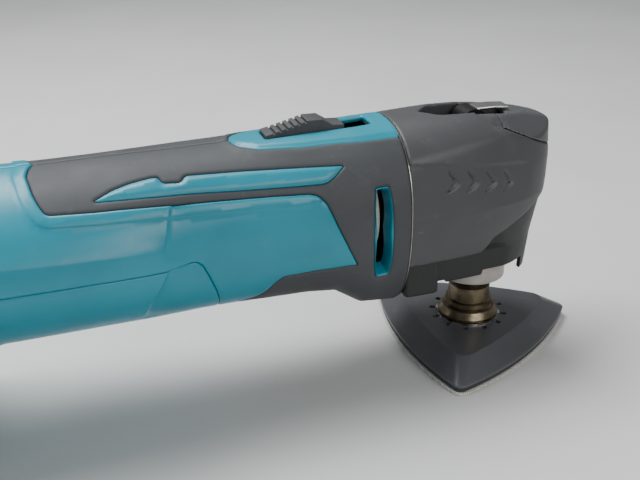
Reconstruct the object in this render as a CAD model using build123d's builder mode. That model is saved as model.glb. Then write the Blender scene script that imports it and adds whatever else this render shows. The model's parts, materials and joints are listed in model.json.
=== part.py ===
from build123d import *

import os
from math import cos, pi, sin

# Cordless oscillating multi tool, standing on its sanding pad and its rear foot.
# X runs forward towards the head, Z up from the surface it stands on, and the
# origin is under the middle of the whole tool. "Along" values are measured
# forward from the spindle's axis, in millimetres, as are all sizes.

os.makedirs("parts", exist_ok=True)

# ---------------------------------------------------------------- driving sizes
spindle_x = 130.0  # the spindle's axis, forward of the origin
motor_height = 77.5  # the motor's axis above the surface
seam_along = -44.5  # where the grip meets the head
mount_along = -248.0  # the rear wall that carries the battery
skin = 2.2  # thickness of the soft grip, the plate and the covers
wall = 4.6  # skin and hard shell together
rear_wall = 3.0
seam_gap = 0.5
moving_gap = 0.4  # room beside parts that move past each other
running_gap = 0.05  # radial room of a shaft in its hole
body_reach = 60.0  # further across than any part of the body

# Sections of the body: along, half width, top, bottom, corner radius.
body_stations = [
    (mount_along, 40.0, 113.0, 1.5, 16.0),
    (-232.0, 40.0, 113.0, 4.0, 18.0),
    (-205.0, 38.5, 112.0, 39.0, 30.0),
    (-165.0, 36.0, 111.5, 42.0, 34.0),
    (-135.0, 32.0, 111.5, 44.0, 29.0),
    (-90.0, 30.6, 112.0, 44.0, 27.0),
    (-70.0, 31.8, 112.6, 41.0, 28.0),
    (-59.0, 32.3, 113.0, 33.7, 28.0),
    (seam_along, 31.0, 113.8, 31.7, 27.0),
]
head_stations = [
    (seam_along + seam_gap, 31.0, 114.0, 20.0, 27.0),
    (-20.0, 30.8, 115.8, 20.0, 26.0),
    (0.0, 30.4, 114.4, 20.0, 25.0),
    (18.0, 29.0, 111.0, 20.0, 22.0),
    (34.0, 28.0, 104.0, 20.0, 20.0),
]
# The head seen from above: along, half width, and how much that corner is rounded.
head_plan = [(5.0, 28.0, 16.0), (30.6, 12.0, 9.0)]
head_plan_rear = (-60.0, 33.6)
head_front = [(20.0, 50.0), (30.6, 99.0)]  # the leaning front, along and height
head_bottom = 57.0
cover_wall = 2.5

pivot_along, pivot_height = -5.0, 107.5  # the lock lever's pin
cam_closed, cam_open = 5.2, 7.0  # cam radius pressing on the clamp shaft
lever_seam = [(-5.0, 111.4), (36.0, 93.0)]  # side view of the seam under the lever
recess_half_width = 12.0
recess_along = (-30.0, 2.0)

journal = 7.5  # spindle radius in its bearings
neck = 8.5  # spindle radius below them
bolt_shank = 3.9
pad_top = 12.5
pad_base = (54.0, 34.5, 4.0)  # corner reach, mid-side reach, corner radius
pad_plateau = (42.5, 25.5, 6.0)
hook_thickness = 1.4
cushion_top = 4.0
drive_holes = 12
drive_hole_ring = 16.7

can_radius = 23.0
can_along = (-128.0, -66.0)
shaft_radius = 4.0
eccentricity = 0.92  # how far the crank throws the swing fork's end
crank_along = (-36.0, -28.0)
crank_bearing_radius = 8.0
fork_slot = 10.2  # half width between the fork's arms

rail_along = (-256.0, mount_along)  # the battery rails behind the rear wall
rail_half_width = 33.0
channel_half_width = 30.0
lip_half_width = 20.0
lip_thickness = 2.8
battery_rear = -312.4
battery_front = -257.0
battery_half_width = 37.5
battery_low, battery_high = 4.0, 116.0
case_wall = 2.2
tongue_heights = (22.0, 100.0)

spindle_axis = Axis((spindle_x, 0, 0), (0, 0, 1))
motor_axis = Axis((0, 0, motor_height), (1, 0, 0))


# ------------------------------------------------------------------- helpers
def write(piece, label):
    """Names a finished piece and writes it as its own STEP file."""
    piece.part.label = label
    export_step(piece.part, f"parts/{label}.step")


def box(along, across, heights, mode=Mode.ADD):
    """A box from its two ends on each axis, in the part that is being built."""
    middle = (spindle_x + sum(along) / 2, sum(across) / 2, sum(heights) / 2)
    with Locations(middle):
        Box(along[1] - along[0], across[1] - across[0], heights[1] - heights[0], mode=mode)


def post(along, across, heights, radius, mode=Mode.ADD):
    """An upright cylinder."""
    with Locations((spindle_x + along, across, sum(heights) / 2)):
        Cylinder(radius, heights[1] - heights[0], mode=mode)


def cross_rod(along, across, height, radius, mode=Mode.ADD):
    """A cylinder that runs across the tool, from across[0] to across[1]."""
    with Locations((spindle_x + along, sum(across) / 2, height)):
        Cylinder(radius, across[1] - across[0], rotation=(90, 0, 0), mode=mode)


def fore_rod(along, across, height, radius, mode=Mode.ADD):
    """A cylinder that runs forward, from along[0] to along[1]."""
    with Locations((spindle_x + sum(along) / 2, across, height)):
        Cylinder(radius, along[1] - along[0], rotation=(0, 90, 0), mode=mode)


def long_form(stations, inset):
    """A solid through the stations, drawn in by inset all round."""
    with BuildPart() as form:
        for along, half_width, top, bottom, corner in stations:
            with BuildSketch(Plane.YZ.offset(spindle_x + along)):
                with Locations((0, (top + bottom) / 2)):
                    RectangleRounded(
                        2 * (half_width - inset), top - bottom - 2 * inset, corner - inset
                    )
        loft(ruled=True)
    return form.part


def head_form(inset, lowest):
    """The head's outer form down to a height, drawn in by inset."""
    along_form = long_form(head_stations, inset)
    (shoulder, shoulder_half, shoulder_round), (nose, nose_half, nose_round) = head_plan
    corners = [head_plan_rear, (shoulder, shoulder_half), (nose, nose_half)]
    with BuildPart() as form:
        with BuildSketch() as plan:
            with BuildLine():
                Polyline(
                    *[(spindle_x + along, -across) for along, across in corners],
                    *[(spindle_x + along, across) for along, across in reversed(corners)],
                    close=True,
                )
            make_face()
            fillet(plan.vertices().group_by(Axis.X)[1], shoulder_round)
            fillet(plan.vertices().group_by(Axis.X)[-1], nose_round)
            if inset:
                offset(amount=-inset, mode=Mode.REPLACE)
        extrude(amount=130.0)
        add(along_form, mode=Mode.INTERSECT)
        box((-60, 40), (-body_reach, body_reach), (0, lowest), mode=Mode.SUBTRACT)
        low, high = head_front
        with BuildSketch(Plane.XZ):
            with BuildLine():
                Polyline(
                    (spindle_x + low[0] - inset, low[1]), (spindle_x + high[0] - inset, high[1]),
                    (spindle_x + 60.0, high[1]), (spindle_x + 60.0, low[1]), close=True,
                )
            make_face()
        extrude(amount=body_reach, both=True, mode=Mode.SUBTRACT)
    return form.part


def side_prism(outline, rounding=0.0, corners=()):
    """A side view (along, height) cut right across the tool, some corners rounded."""
    with BuildPart() as prism:
        with BuildSketch(Plane.XZ) as view:
            with BuildLine():
                Polyline(*[(spindle_x + along, height) for along, height in outline], close=True)
            make_face()
            for along, height in corners:
                place = Vector(spindle_x + along, height, 0)
                nearest = view.vertices().sort_by_distance(place)[0]
                fillet(nearest, rounding)
        extrude(amount=body_reach, both=True)
    return prism.part


def turned_on_spindle(profile):
    """A solid turned about the spindle's axis from (radius, height) points."""
    with BuildPart() as solid:
        with BuildSketch(Plane.XZ):
            with BuildLine():
                Polyline(*[(spindle_x + radius, height) for radius, height in profile], close=True)
            make_face()
        revolve(axis=spindle_axis)
    return solid.part


def turned_on_motor(profile):
    """A solid turned about the motor's axis from (along, radius) points."""
    with BuildPart() as solid:
        with BuildSketch(Plane.XZ):
            with BuildLine():
                Polyline(
                    *[(spindle_x + along, motor_height + radius) for along, radius in profile],
                    close=True,
                )
            make_face()
        revolve(axis=motor_axis)
    return solid.part


def tube_profile(along, inner, outer):
    """The four corners of a plain tube for turned_on_motor."""
    return [(along[0], inner), (along[1], inner), (along[1], outer), (along[0], outer)]


def bearing(plane, bore, outer, width, ball_count):
    """A ball bearing centred on the plane: two races and their balls."""
    middle = (bore + outer) / 2
    ball = (outer - bore) * 0.27
    race_gap = ball * 0.45
    with BuildPart(plane) as piece:
        Cylinder(outer, width)
        Cylinder(middle + race_gap, width, mode=Mode.SUBTRACT)
        Cylinder(middle - race_gap, width)
        Cylinder(bore, width, mode=Mode.SUBTRACT)
        Torus(middle, ball + running_gap, mode=Mode.SUBTRACT)
        with PolarLocations(middle, ball_count):
            Sphere(ball)
    return piece


def on_side(shape, side):
    """The part of a shape on the left (+1) or the right (-1) of the middle plane."""
    with BuildPart() as piece:
        add(shape)
        split(bisect_by=Plane.XZ, keep=Keep.BOTTOM if side > 0 else Keep.TOP)
    return piece


# ------------------------------------------------- body shell, grip and covers
envelope = long_form(body_stations, 0.0)
core = long_form(body_stations, skin)
inner_stations = [(mount_along + rear_wall, *body_stations[0][1:]), *body_stations[1:]]
cavity = long_form(inner_stations, wall)

# The soft grip wraps the top and the front, round the hard panel on each side.
grip_outline = [
    (-186.5, 130.0), (-187.0, 109.0), (-181.0, 100.5), (-80.0, 95.6), (-67.0, 63.3),
    (-97.5, 62.5), (-107.0, 53.0), (-118.0, 47.5), (-120.0, 20.0), (-40.0, 20.0), (-40.0, 130.0),
]
grip_zone = side_prism(grip_outline, 3.0, [(-181.0, 100.5), (-80.0, 95.6), (-67.0, 63.3)])
# A hard stripe shows through the grip.
stripe_outline = [
    (-165.0, 102.8), (-150.0, 106.4), (-142.0, 106.9), (-139.9, 105.1), (-133.5, 104.9),
    (-130.0, 106.7), (-110.0, 105.9), (-70.0, 104.0), (-78.5, 98.7), (-90.0, 99.0), (-142.0, 101.6),
]
stripe_zone = side_prism(stripe_outline)
# The snap-on cover below the brushes wraps the underside of the rear block.
brush_cover_outline = [
    (-208.0, 77.6), (-145.0, 75.0), (-134.5, 76.8), (-130.5, 76.6), (-123.0, 55.0),
    (-122.5, 30.0), (-208.0, 30.0),
]
brush_cover_zone = side_prism(brush_cover_outline, 2.0, [(-134.5, 76.8), (-130.5, 76.6)])

plate_outline = [(-110.9, 9.0), (-92.0, 13.0), (-66.0, 15.1), (-40.0, 16.0)]
with BuildPart() as plate_zone:
    with BuildSketch(Plane.XY.offset(95)) as plan:
        with BuildLine():
            Polyline(
                *[(spindle_x + along, -across) for along, across in plate_outline],
                *[(spindle_x + along, across) for along, across in reversed(plate_outline)],
                close=True,
            )
        make_face()
        fillet(plan.vertices().group_by(Axis.X)[0], 7.0)
    extrude(amount=40)

knob_along = (-96.6, -64.0)
knob_half_width = 4.8
knob_travel = 10.0
plate_slot = (knob_along[0] - moving_gap, knob_along[1] + knob_travel + 1.5)

vent_height, vent_middle = 39.5, (-56.6, 75.5)
vent_width, port_width = 8.2, 5.4


def vent_cut(width, shift):
    """The exhaust slit on both sides, moved rearward by shift."""
    with BuildPart() as cut:
        with BuildSketch(Plane.XZ):
            with Locations((spindle_x + vent_middle[0] - shift, vent_middle[1])):
                SlotOverall(vent_height - (vent_width - width), width, rotation=90)
        extrude(amount=body_reach, both=True)
    return cut.part


vent_window = vent_cut(vent_width, 0.0)
vent_port = vent_cut(port_width, 1.0)

with BuildPart() as grip_cuts:
    add(stripe_zone)
    add(plate_zone.part)
    add(vent_window)
with BuildPart() as grip:
    add(envelope)
    add(grip_zone, mode=Mode.INTERSECT)
    add(grip_cuts.part, mode=Mode.SUBTRACT)
    add(core, mode=Mode.SUBTRACT)
for side, name in ((1, "left"), (-1, "right")):
    write(on_side(grip.part, side), f"grip_{name}")

with BuildPart() as switch_plate:
    add(envelope)
    add(plate_zone.part, mode=Mode.INTERSECT)
    add(core, mode=Mode.SUBTRACT)
    slot_half_width = knob_half_width + moving_gap
    box(plate_slot, (-slot_half_width, slot_half_width), (100, 130), mode=Mode.SUBTRACT)
write(switch_plate, "switch_plate")

with BuildPart() as brush_cover:
    add(envelope)
    add(brush_cover_zone, mode=Mode.INTERSECT)
    add(core, mode=Mode.SUBTRACT)
    box((-137, -128.5), (-32, -25), (48, 60), mode=Mode.SUBTRACT)
    box((-137, -128.5), (25, 32), (48, 60), mode=Mode.SUBTRACT)
write(brush_cover, "brush_cover")

# What the grip, the plate and the cover take away from the hard shell.
with BuildPart() as laid_on:
    add(grip_zone)
    add(stripe_zone, mode=Mode.SUBTRACT)
    add(plate_zone.part)
    add(brush_cover_zone)
    add(core, mode=Mode.SUBTRACT)

foot_along, foot_half_width, foot_height = (-246.0, -233.0), 27.0, 6.0
dial_along, dial_height, dial_radius, dial_width = -218.0, 105.6, 9.5, 8.0
# Screws that hold the two halves together: along, height, where the head sits.
shell_screws = [(-237.0, 20.0, 30.0), (-236.0, 98.0, 26.0), (-196.0, 53.0, 16.0),
                (-155.0, 53.0, 16.0), (-60.0, 45.5, 17.5)]
screw_radius, screw_head_radius, screw_head_height = 1.6, 3.3, 2.6
screw_tip = -16.0
boss_radius = 4.2

with BuildPart() as bosses:
    for along, height, _ in shell_screws:
        cross_rod(along, (-body_reach, body_reach), height, boss_radius)
    add(core, mode=Mode.INTERSECT)

with BuildPart() as housing_cuts:
    add(vent_port)
    # the channel that the switch's rod slides in
    box((plate_slot[0] - 2, plate_slot[1] + 2), (-6.5, 6.5), (100, 120))
    # the window of the speed dial
    dial_room = dial_width / 2 + 0.6
    box((dial_along - 11, dial_along + 11), (-dial_room, dial_room), (100, 120))
    box(foot_along, (-foot_half_width, foot_half_width), (-5, foot_height))
    # air intakes on both sides, ahead of the battery
    for step in range(5):
        low = 62.0 + 6.5 * step
        for across in ((-body_reach, -30), (30, body_reach)):
            box((-240, -222), across, (low, low + 2.4))
    # the terminal block's window in the rear wall
    box((mount_along - 1, mount_along + rear_wall + 1), (-16, 16), (44, 70))
    for along, height, head_across in shell_screws:
        cross_rod(along, (screw_tip, head_across), height, screw_radius)
        cross_rod(along, (head_across, body_reach), height, screw_head_radius + 0.3)

with BuildPart() as housing:
    add(envelope)
    add(cavity, mode=Mode.SUBTRACT)
    add(bosses.part)
    add(laid_on.part, mode=Mode.SUBTRACT)
    add(housing_cuts.part, mode=Mode.SUBTRACT)
    # the battery's rails and the stop below them
    for edge in (-1, 1):
        web = sorted((edge * channel_half_width, edge * rail_half_width))
        lip = sorted((edge * lip_half_width, edge * rail_half_width))
        lip_along = (rail_along[0], rail_along[0] + lip_thickness)
        box(rail_along, web, (17, 104))
        box(lip_along, lip, (17, 104))
    box(rail_along, (-rail_half_width, rail_half_width), (17, tongue_heights[0] - moving_gap))
for side, name in ((1, "left"), (-1, "right")):
    write(on_side(housing.part, side), f"housing_{name}")

with BuildPart() as housing_screws:
    for along, height, head_across in shell_screws:
        cross_rod(along, (screw_tip, head_across), height, screw_radius)
        top = head_across + screw_head_height
        cross_rod(along, (head_across, top), height, screw_head_radius)
        cross_rod(along, (top - 1.4, top), height, 1.3, mode=Mode.SUBTRACT)
write(housing_screws, "housing_screws")

with BuildPart() as rear_foot:
    box(foot_along, (-foot_half_width, foot_half_width), (0, foot_height))
    fillet(rear_foot.edges().filter_by(Axis.Z), 3.0)
    chamfer(rear_foot.faces().sort_by(Axis.Z)[0].edges(), 0.6)
write(rear_foot, "rear_foot")

# ---------------------------------------------------------------- switch and dial
rod_heights = (103.4, 105.8)
switch_along = (-190.0, -164.0)
with BuildPart() as switch_knob:
    knob_view = [
        (knob_along[0], rod_heights[1]), (knob_along[0], 113.2), (-92.0, 114.2), (-79.0, 117.4),
        (-73.0, 117.2), (-69.0, 114.6), (knob_along[1], 114.2), (knob_along[1], rod_heights[1]),
    ]
    with BuildSketch(Plane.XZ):
        with BuildLine():
            Polyline(*[(spindle_x + along, height) for along, height in knob_view], close=True)
        make_face()
    extrude(amount=knob_half_width, both=True)
    for step in range(6):  # finger ribs on the ramp
        start = -93.5 + 2.6 * step
        low = 113.2 + 0.62 * step
        box((start, start + 1.1), (-8, 8), (low, low + 5), mode=Mode.SUBTRACT)
write(switch_knob, "switch_knob")

with BuildPart() as switch_rod:
    box((switch_along[1] + 2.0, -82.0), (-3.2, 3.2), rod_heights)
    box((-94.0, -70.0), (-5.6, 5.6), rod_heights)
    box((switch_along[1] - 8.0, switch_along[1] + 4.0), (-2.0, 2.0), rod_heights)
write(switch_rod, "switch_rod")

with BuildPart() as switch_body:
    box(switch_along, (-9.0, 9.0), (84.0, 102.8))
    fillet(switch_body.edges().filter_by(Axis.Y), 1.5)
    for along in (-185.0, -169.0):  # solder tags
        box((along - 1.5, along + 1.5), (-0.4, 0.4), (78.0, 84.0))
write(switch_body, "switch_body")

with BuildPart() as speed_dial:
    cross_rod(dial_along, (-dial_width / 2, dial_width / 2), dial_height, dial_radius)
    teeth = Plane(origin=(spindle_x + dial_along, 0, dial_height), z_dir=(0, 1, 0))
    with BuildSketch(teeth):
        with PolarLocations(dial_radius, 24):
            Circle(0.7)
    extrude(amount=dial_width / 2, both=True, mode=Mode.SUBTRACT)
    cross_rod(dial_along, (-dial_width / 2 - 0.4, dial_width / 2 + 0.4), dial_height, 2.5)
write(speed_dial, "speed_dial")

with BuildPart() as control_board:
    box((-234.0, -198.0), (-18.0, 18.0), (88.0, 89.6))
    box((-224.0, -212.0), (-5.0, -2.0), (89.6, 95.0))  # the dial's potentiometer
    box((-232.0, -226.0), (-14.0, 14.0), (76.0, 88.0))  # the power device's heat sink
    for along, across, radius in ((-206.0, -10.0, 4.0), (-206.0, 10.0, 4.0), (-218.0, 12.0, 2.5)):
        post(along, across, (74.0, 88.0), radius)
write(control_board, "control_board")

# ------------------------------------------------------------- battery connection
with BuildPart() as terminal_block:
    box((mount_along + 0.2, -236.0), (-15.8, 15.8), (44.2, 69.8))
    for across in (-10.0, 0.0, 10.0):
        box((mount_along, mount_along + 3.0), (across - 1.2, across + 1.2), (50, 80), mode=Mode.SUBTRACT)
write(terminal_block, "terminal_block")

blade_heights = (50.0, 66.0)
with BuildPart() as terminal_blades:
    for across in (-10.0, 0.0, 10.0):
        box((-251.4, mount_along + 3.0), (across - 0.4, across + 0.4), blade_heights)
write(terminal_blades, "terminal_blades")

split_along = -276.0
with BuildPart() as battery_form:
    box((battery_rear, battery_front), (-battery_half_width, battery_half_width),
        (battery_low, battery_high))
    fillet(battery_form.edges().filter_by(Axis.X), 6.0)
    fillet(battery_form.faces().sort_by(Axis.X)[0].edges(), 5.0)
with BuildPart() as battery_room:
    box((battery_rear + case_wall, battery_front - case_wall),
        (case_wall - battery_half_width, battery_half_width - case_wall),
        (battery_low + case_wall, battery_high - case_wall))
    fillet(battery_room.edges().filter_by(Axis.X), 4.0)
    fillet(battery_room.faces().sort_by(Axis.X)[0].edges(), 3.0)

button_half_width, button_low = 13.0, 98.0
button_along = (-266.0, -257.6)
tongue_gap = 0.6
tongue_along = (rail_along[0] + lip_thickness + tongue_gap, mount_along - tongue_gap)
with BuildPart() as battery_screws:
    for across in (-30.0, 30.0):
        for height in (8.0, 108.0):
            fore_rod((-290.0, -261.0), across, height, 1.5)
            fore_rod((-261.0, battery_front - 0.4), across, height, 2.8)
write(battery_screws, "battery_screws")

with BuildPart() as battery_case_front:
    add(battery_form.part)
    box((battery_rear - 5, split_along), (-50, 50), (0, 130), mode=Mode.SUBTRACT)
    add(battery_room.part, mode=Mode.SUBTRACT)
    # the T-shaped tongue that runs in the rails
    neck_half = lip_half_width - tongue_gap
    box((battery_front - 1, tongue_along[0] + 1), (-neck_half, neck_half), tongue_heights)
    head_half = channel_half_width - tongue_gap
    box(tongue_along, (-head_half, head_half), tongue_heights)
    for across in (-10.0, 0.0, 10.0):  # slots for the tool's blades, open at the bottom
        box((-252.6, -248.0), (across - 1.2, across + 1.2), (10.0, blade_heights[1] + 2),
            mode=Mode.SUBTRACT)
    # the pocket of the release button
    box((button_along[0] - 5.6, battery_front + 1), (-button_half_width - moving_gap,
        button_half_width + moving_gap), (button_low - moving_gap, 120), mode=Mode.SUBTRACT)
    box((-273.3, -271.6), (-18, 18), (95, battery_high - 1))
    box((-272.0, battery_front - 0.5), (-18, 18), (95.0, 97.0))
    add(battery_screws.part, mode=Mode.SUBTRACT)
write(battery_case_front, "battery_case_front")

with BuildPart() as battery_case_rear:
    add(battery_form.part)
    box((split_along, battery_front + 5), (-50, 50), (0, 130), mode=Mode.SUBTRACT)
    add(battery_room.part, mode=Mode.SUBTRACT)
    add(battery_screws.part, mode=Mode.SUBTRACT)
write(battery_case_rear, "battery_case_rear")

cell_radius, cell_length, cell_pitch = 9.1, 65.0, 18.4
first_cell = (-301.0, 19.0)
with BuildPart() as battery_cells:
    for row in range(5):
        for column in range(2):
            along, height = first_cell[0] + cell_pitch * column, first_cell[1] + 18.6 * row
            cross_rod(along, (-cell_length / 2, cell_length / 2), height, cell_radius)
write(battery_cells, "battery_cells")

with BuildPart() as battery_button:
    box(button_along, (-button_half_width, button_half_width), (button_low, battery_high - 1.0))
    fillet(battery_button.edges().filter_by(Axis.X), 2.0)
    box((button_along[1] - 1, -250.0), (-8.0, 8.0), (101.0, 106.0))  # the latch
    for step in range(4):  # finger grooves on top
        start = button_along[0] + 1.0 + 1.9 * step
        box((start, start + 0.9), (-20, 20), (battery_high - 1.7, 130), mode=Mode.SUBTRACT)
    fore_rod((button_along[0], button_along[0] + 3.0), 0.0, 106.0, 3.2, mode=Mode.SUBTRACT)
write(battery_button, "battery_button")

with BuildPart() as button_spring:
    with BuildLine() as coil:
        Helix(pitch=1.6, height=7.2, radius=2.0, center=(spindle_x - 271.0, 0, 106.0),
              direction=(1, 0, 0))
    start = coil.line
    with BuildSketch(Plane(origin=start @ 0, z_dir=start % 0)):
        Circle(0.35)
    sweep(is_frenet=True)
write(button_spring, "button_spring")

# -------------------------------------------------------------------- the motor
with BuildPart() as motor_can:
    add(turned_on_motor(tube_profile(can_along, can_radius - 1.8, can_radius)))
write(motor_can, "motor_can")

magnet_radius = can_radius - 1.8
with BuildPart() as motor_magnets:
    add(turned_on_motor(tube_profile((-122.0, -74.0), magnet_radius - 2.6, magnet_radius)))
    box((-123, -73), (-30, 30), (motor_height - 6, motor_height + 6), mode=Mode.SUBTRACT)
write(motor_magnets, "motor_magnets")

bell_along = (-150.0, can_along[0])
rear_bearing = (8.0, 4.0)  # outer radius, half width
front_bearing = (11.0, 3.5)
rear_bearing_along, front_bearing_along = -146.0, -49.0
brush_along = -136.0
with BuildPart() as motor_end_bell:
    add(turned_on_motor(tube_profile((bell_along[0], -141.0), rear_bearing[0], 12.0)))
    add(turned_on_motor(tube_profile((-144.0, -141.0), 11.0, can_radius)))
    add(turned_on_motor(tube_profile((-141.0, bell_along[1]), can_radius - 2.2, can_radius)))
    for edge in (-1, 1):  # brush holders
        span = sorted((edge * 11.0, edge * 24.5))
        cross_rod(brush_along, span, motor_height, 5.5)
        cross_rod(brush_along, span, motor_height, 3.4, mode=Mode.SUBTRACT)
write(motor_end_bell, "motor_end_bell")

commutator_radius = 8.5
with BuildPart() as carbon_brushes:
    for edge in (-1, 1):
        box((brush_along - 2.2, brush_along + 2.2),
            sorted((edge * (commutator_radius + 0.3), edge * 17.0)),
            (motor_height - 2.2, motor_height + 2.2))
write(carbon_brushes, "carbon_brushes")

with BuildPart() as brush_springs:
    for edge in (-1, 1):
        for turn in range(4):
            across = edge * (17.9 + 1.1 * turn)
            with Locations(Location((spindle_x + brush_along, across, motor_height), (90, 0, 0))):
                Torus(2.3, 0.45)
write(brush_springs, "brush_springs")

with BuildPart() as brush_caps:
    for edge in (-1, 1):
        cross_rod(brush_along, sorted((edge * 22.0, edge * 25.0)), motor_height, 3.35)
        slot_across = sorted((edge * 24.0, edge * 25.5))
        box((brush_along - 2.6, brush_along + 2.6), slot_across,
            (motor_height - 0.5, motor_height + 0.5), mode=Mode.SUBTRACT)
write(brush_caps, "brush_caps")

with BuildPart() as motor_shaft:
    add(turned_on_motor([
        (-152.0, 0.0), (-152.0, shaft_radius - running_gap), (-40.0, shaft_radius - running_gap),
        (-40.0, 5.0), (crank_along[0], 5.0), (crank_along[0], 0.0),
    ]))
    fore_rod((crank_along[0], crank_along[1] + 1.0), 0.0, motor_height + eccentricity, 3.0)
write(motor_shaft, "motor_shaft")

core_along = (-118.0, -78.0)
core_radius = magnet_radius - 2.6 - 0.6
slot_count = 12
with BuildPart() as armature_core:
    add(turned_on_motor(tube_profile(core_along, shaft_radius - running_gap, core_radius)))
    with BuildSketch(Plane.YZ.offset(spindle_x + core_along[0])):
        with Locations((0, motor_height)):
            with PolarLocations(core_radius - 5.0, slot_count):
                Rectangle(8.0, 4.2)
            with PolarLocations(core_radius - 0.5, slot_count):
                Rectangle(3.0, 1.6)
    extrude(amount=core_along[1] - core_along[0], mode=Mode.SUBTRACT)
write(armature_core, "armature_core")

with BuildPart() as armature_windings:
    for ends in ((-125.5, core_along[0]), (core_along[1], -70.5)):
        add(turned_on_motor(tube_profile(ends, 5.5, core_radius - 1.4)))
    with BuildSketch(Plane.YZ.offset(spindle_x + core_along[0])):
        with Locations((0, motor_height)):
            with PolarLocations(core_radius - 5.2, slot_count):
                Rectangle(6.8, 3.4)
    extrude(amount=core_along[1] - core_along[0])
write(armature_windings, "armature_windings")

with BuildPart() as commutator:
    add(turned_on_motor(tube_profile((-140.0, -127.5), shaft_radius - running_gap, commutator_radius)))
    with BuildSketch(Plane.YZ.offset(spindle_x - 140.0)):
        with Locations((0, motor_height)):
            with PolarLocations(commutator_radius, 24):
                Rectangle(1.4, 0.4)
    extrude(amount=12.5, mode=Mode.SUBTRACT)
write(commutator, "commutator")

fan_along = (-63.5, -55.0)
with BuildPart() as cooling_fan:
    add(turned_on_motor(tube_profile(fan_along, shaft_radius - running_gap, 7.0)))
    add(turned_on_motor(tube_profile((fan_along[1] - 1.6, fan_along[1]), 6.5, 22.0)))
    with BuildSketch(Plane.YZ.offset(spindle_x + fan_along[0])):
        with Locations((0, motor_height)):
            with PolarLocations(14.2, 18):
                Rectangle(15.4, 1.2)
    extrude(amount=fan_along[1] - fan_along[0] - 1.0)
write(cooling_fan, "cooling_fan")

with BuildPart() as counterweight:
    add(turned_on_motor(tube_profile((-44.0, -40.0), shaft_radius - running_gap, 9.0)))
    box((-45, -39), (-12, 12), (motor_height + 5.2, motor_height + 12), mode=Mode.SUBTRACT)
write(counterweight, "counterweight")

crank_middle = sum(crank_along) / 2 + 0.2
crank_plane = Plane(
    origin=(spindle_x + crank_middle, 0, motor_height + eccentricity), z_dir=(1, 0, 0)
)
write(bearing(crank_plane, 3.0, crank_bearing_radius, 7.0, 8), "eccentric_bearing")
front_plane = Plane(origin=(spindle_x + front_bearing_along, 0, motor_height), z_dir=(1, 0, 0))
write(bearing(front_plane, shaft_radius, front_bearing[0], 7.0, 7), "front_motor_bearing")
rear_plane = Plane(origin=(spindle_x + rear_bearing_along, 0, motor_height), z_dir=(1, 0, 0))
write(bearing(rear_plane, shaft_radius, rear_bearing[0], 8.0, 7), "rear_motor_bearing")

# ------------------------------------------------------------ spindle and clamp
lower_bearing_heights, upper_bearing_heights = (54.2, 61.2), (91.0, 98.0)
bearing_radius = 14.0
spindle_top = 98.4
spring_heights = (72.0, 88.0)
flange_heel = 13.5
guide = bolt_shank + 0.3
jaw_room = 6.5
stem = 3.0
with BuildPart() as spindle:
    add(turned_on_spindle([
        (guide, flange_heel), (14.0, flange_heel), (14.0, 14.6), (13.3, 15.6), (12.2, 17.4),
        (12.2, 18.0), (10.8, 18.7), (10.8, 20.8), (9.6, 21.3), (9.6, 28.5), (10.4, 30.8),
        (12.4, 33.0), (12.4, 33.6), (neck, 33.6), (neck, lower_bearing_heights[0]),
        (journal - running_gap, lower_bearing_heights[0]), (journal - running_gap, spindle_top),
        (5.3, spindle_top), (5.3, spring_heights[0]), (stem + running_gap, spring_heights[0]),
        (stem + running_gap, 52.0), (jaw_room, 52.0), (jaw_room, 34.0), (guide, 34.0),
    ]))
write(spindle, "spindle")

with BuildPart() as swing_fork:
    post(0.0, 0.0, (70.0, 85.0), 12.5)
    for edge in (-1, 1):
        arm = sorted((edge * fork_slot, edge * (fork_slot + 3.6)))
        box((-37.0, 0.0), arm, (71.5, 83.5))
    box((-18.0, -9.0), (-fork_slot - 1, fork_slot + 1), (71.5, 83.5))
    post(0.0, 0.0, (60.0, 95.0), journal - running_gap, mode=Mode.SUBTRACT)
write(swing_fork, "swing_fork")

collar = 5.0
cap_heights = (100.4, 102.0)
with BuildPart() as clamp_shaft:
    add(turned_on_spindle([
        (0.0, 46.0), (6.2, 46.0), (6.2, 48.0), (stem, 50.0), (stem, spring_heights[1]),
        (collar, spring_heights[1]), (collar, 91.0), (stem, 91.0), (stem, cap_heights[0]),
        (6.6, cap_heights[0]), (6.6, cap_heights[1]), (0.0, cap_heights[1]),
    ]))
write(clamp_shaft, "clamp_shaft")

with BuildPart() as clamp_jaws:
    add(turned_on_spindle([
        (bolt_shank + 0.1, 36.4), (6.2, 36.4), (6.2, 45.6), (bolt_shank + 0.1, 45.6),
    ]))
    box((-0.6, 0.6), (-10, 10), (30, 50), mode=Mode.SUBTRACT)
write(clamp_jaws, "clamp_jaws")

with BuildPart() as clamp_spring:
    with BuildLine() as coil:
        Helix(pitch=2.4, height=spring_heights[1] - spring_heights[0] - 1.2, radius=4.15,
              center=(spindle_x, 0, spring_heights[0] + 0.6))
    with BuildSketch(Plane(origin=coil.line @ 0, z_dir=coil.line % 0)):
        Circle(0.55)
    sweep(is_frenet=True)
write(clamp_spring, "clamp_spring")

bolt_head_heights = (3.0, 7.0)
with BuildPart() as holder_bolt:
    add(turned_on_spindle([
        (0.0, bolt_head_heights[0]), (8.0, bolt_head_heights[0]), (8.5, 3.5),
        (8.5, bolt_head_heights[1]), (bolt_shank, bolt_head_heights[1]),
        (bolt_shank, 42.6), (bolt_shank - 0.9, 43.5), (0.0, 43.5),
    ]))
    with BuildSketch(Plane.XY.offset(bolt_head_heights[0])):
        with Locations((spindle_x, 0)):
            RegularPolygon(2.9, 6)
    extrude(amount=2.6, mode=Mode.SUBTRACT)
write(holder_bolt, "holder_bolt")

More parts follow.
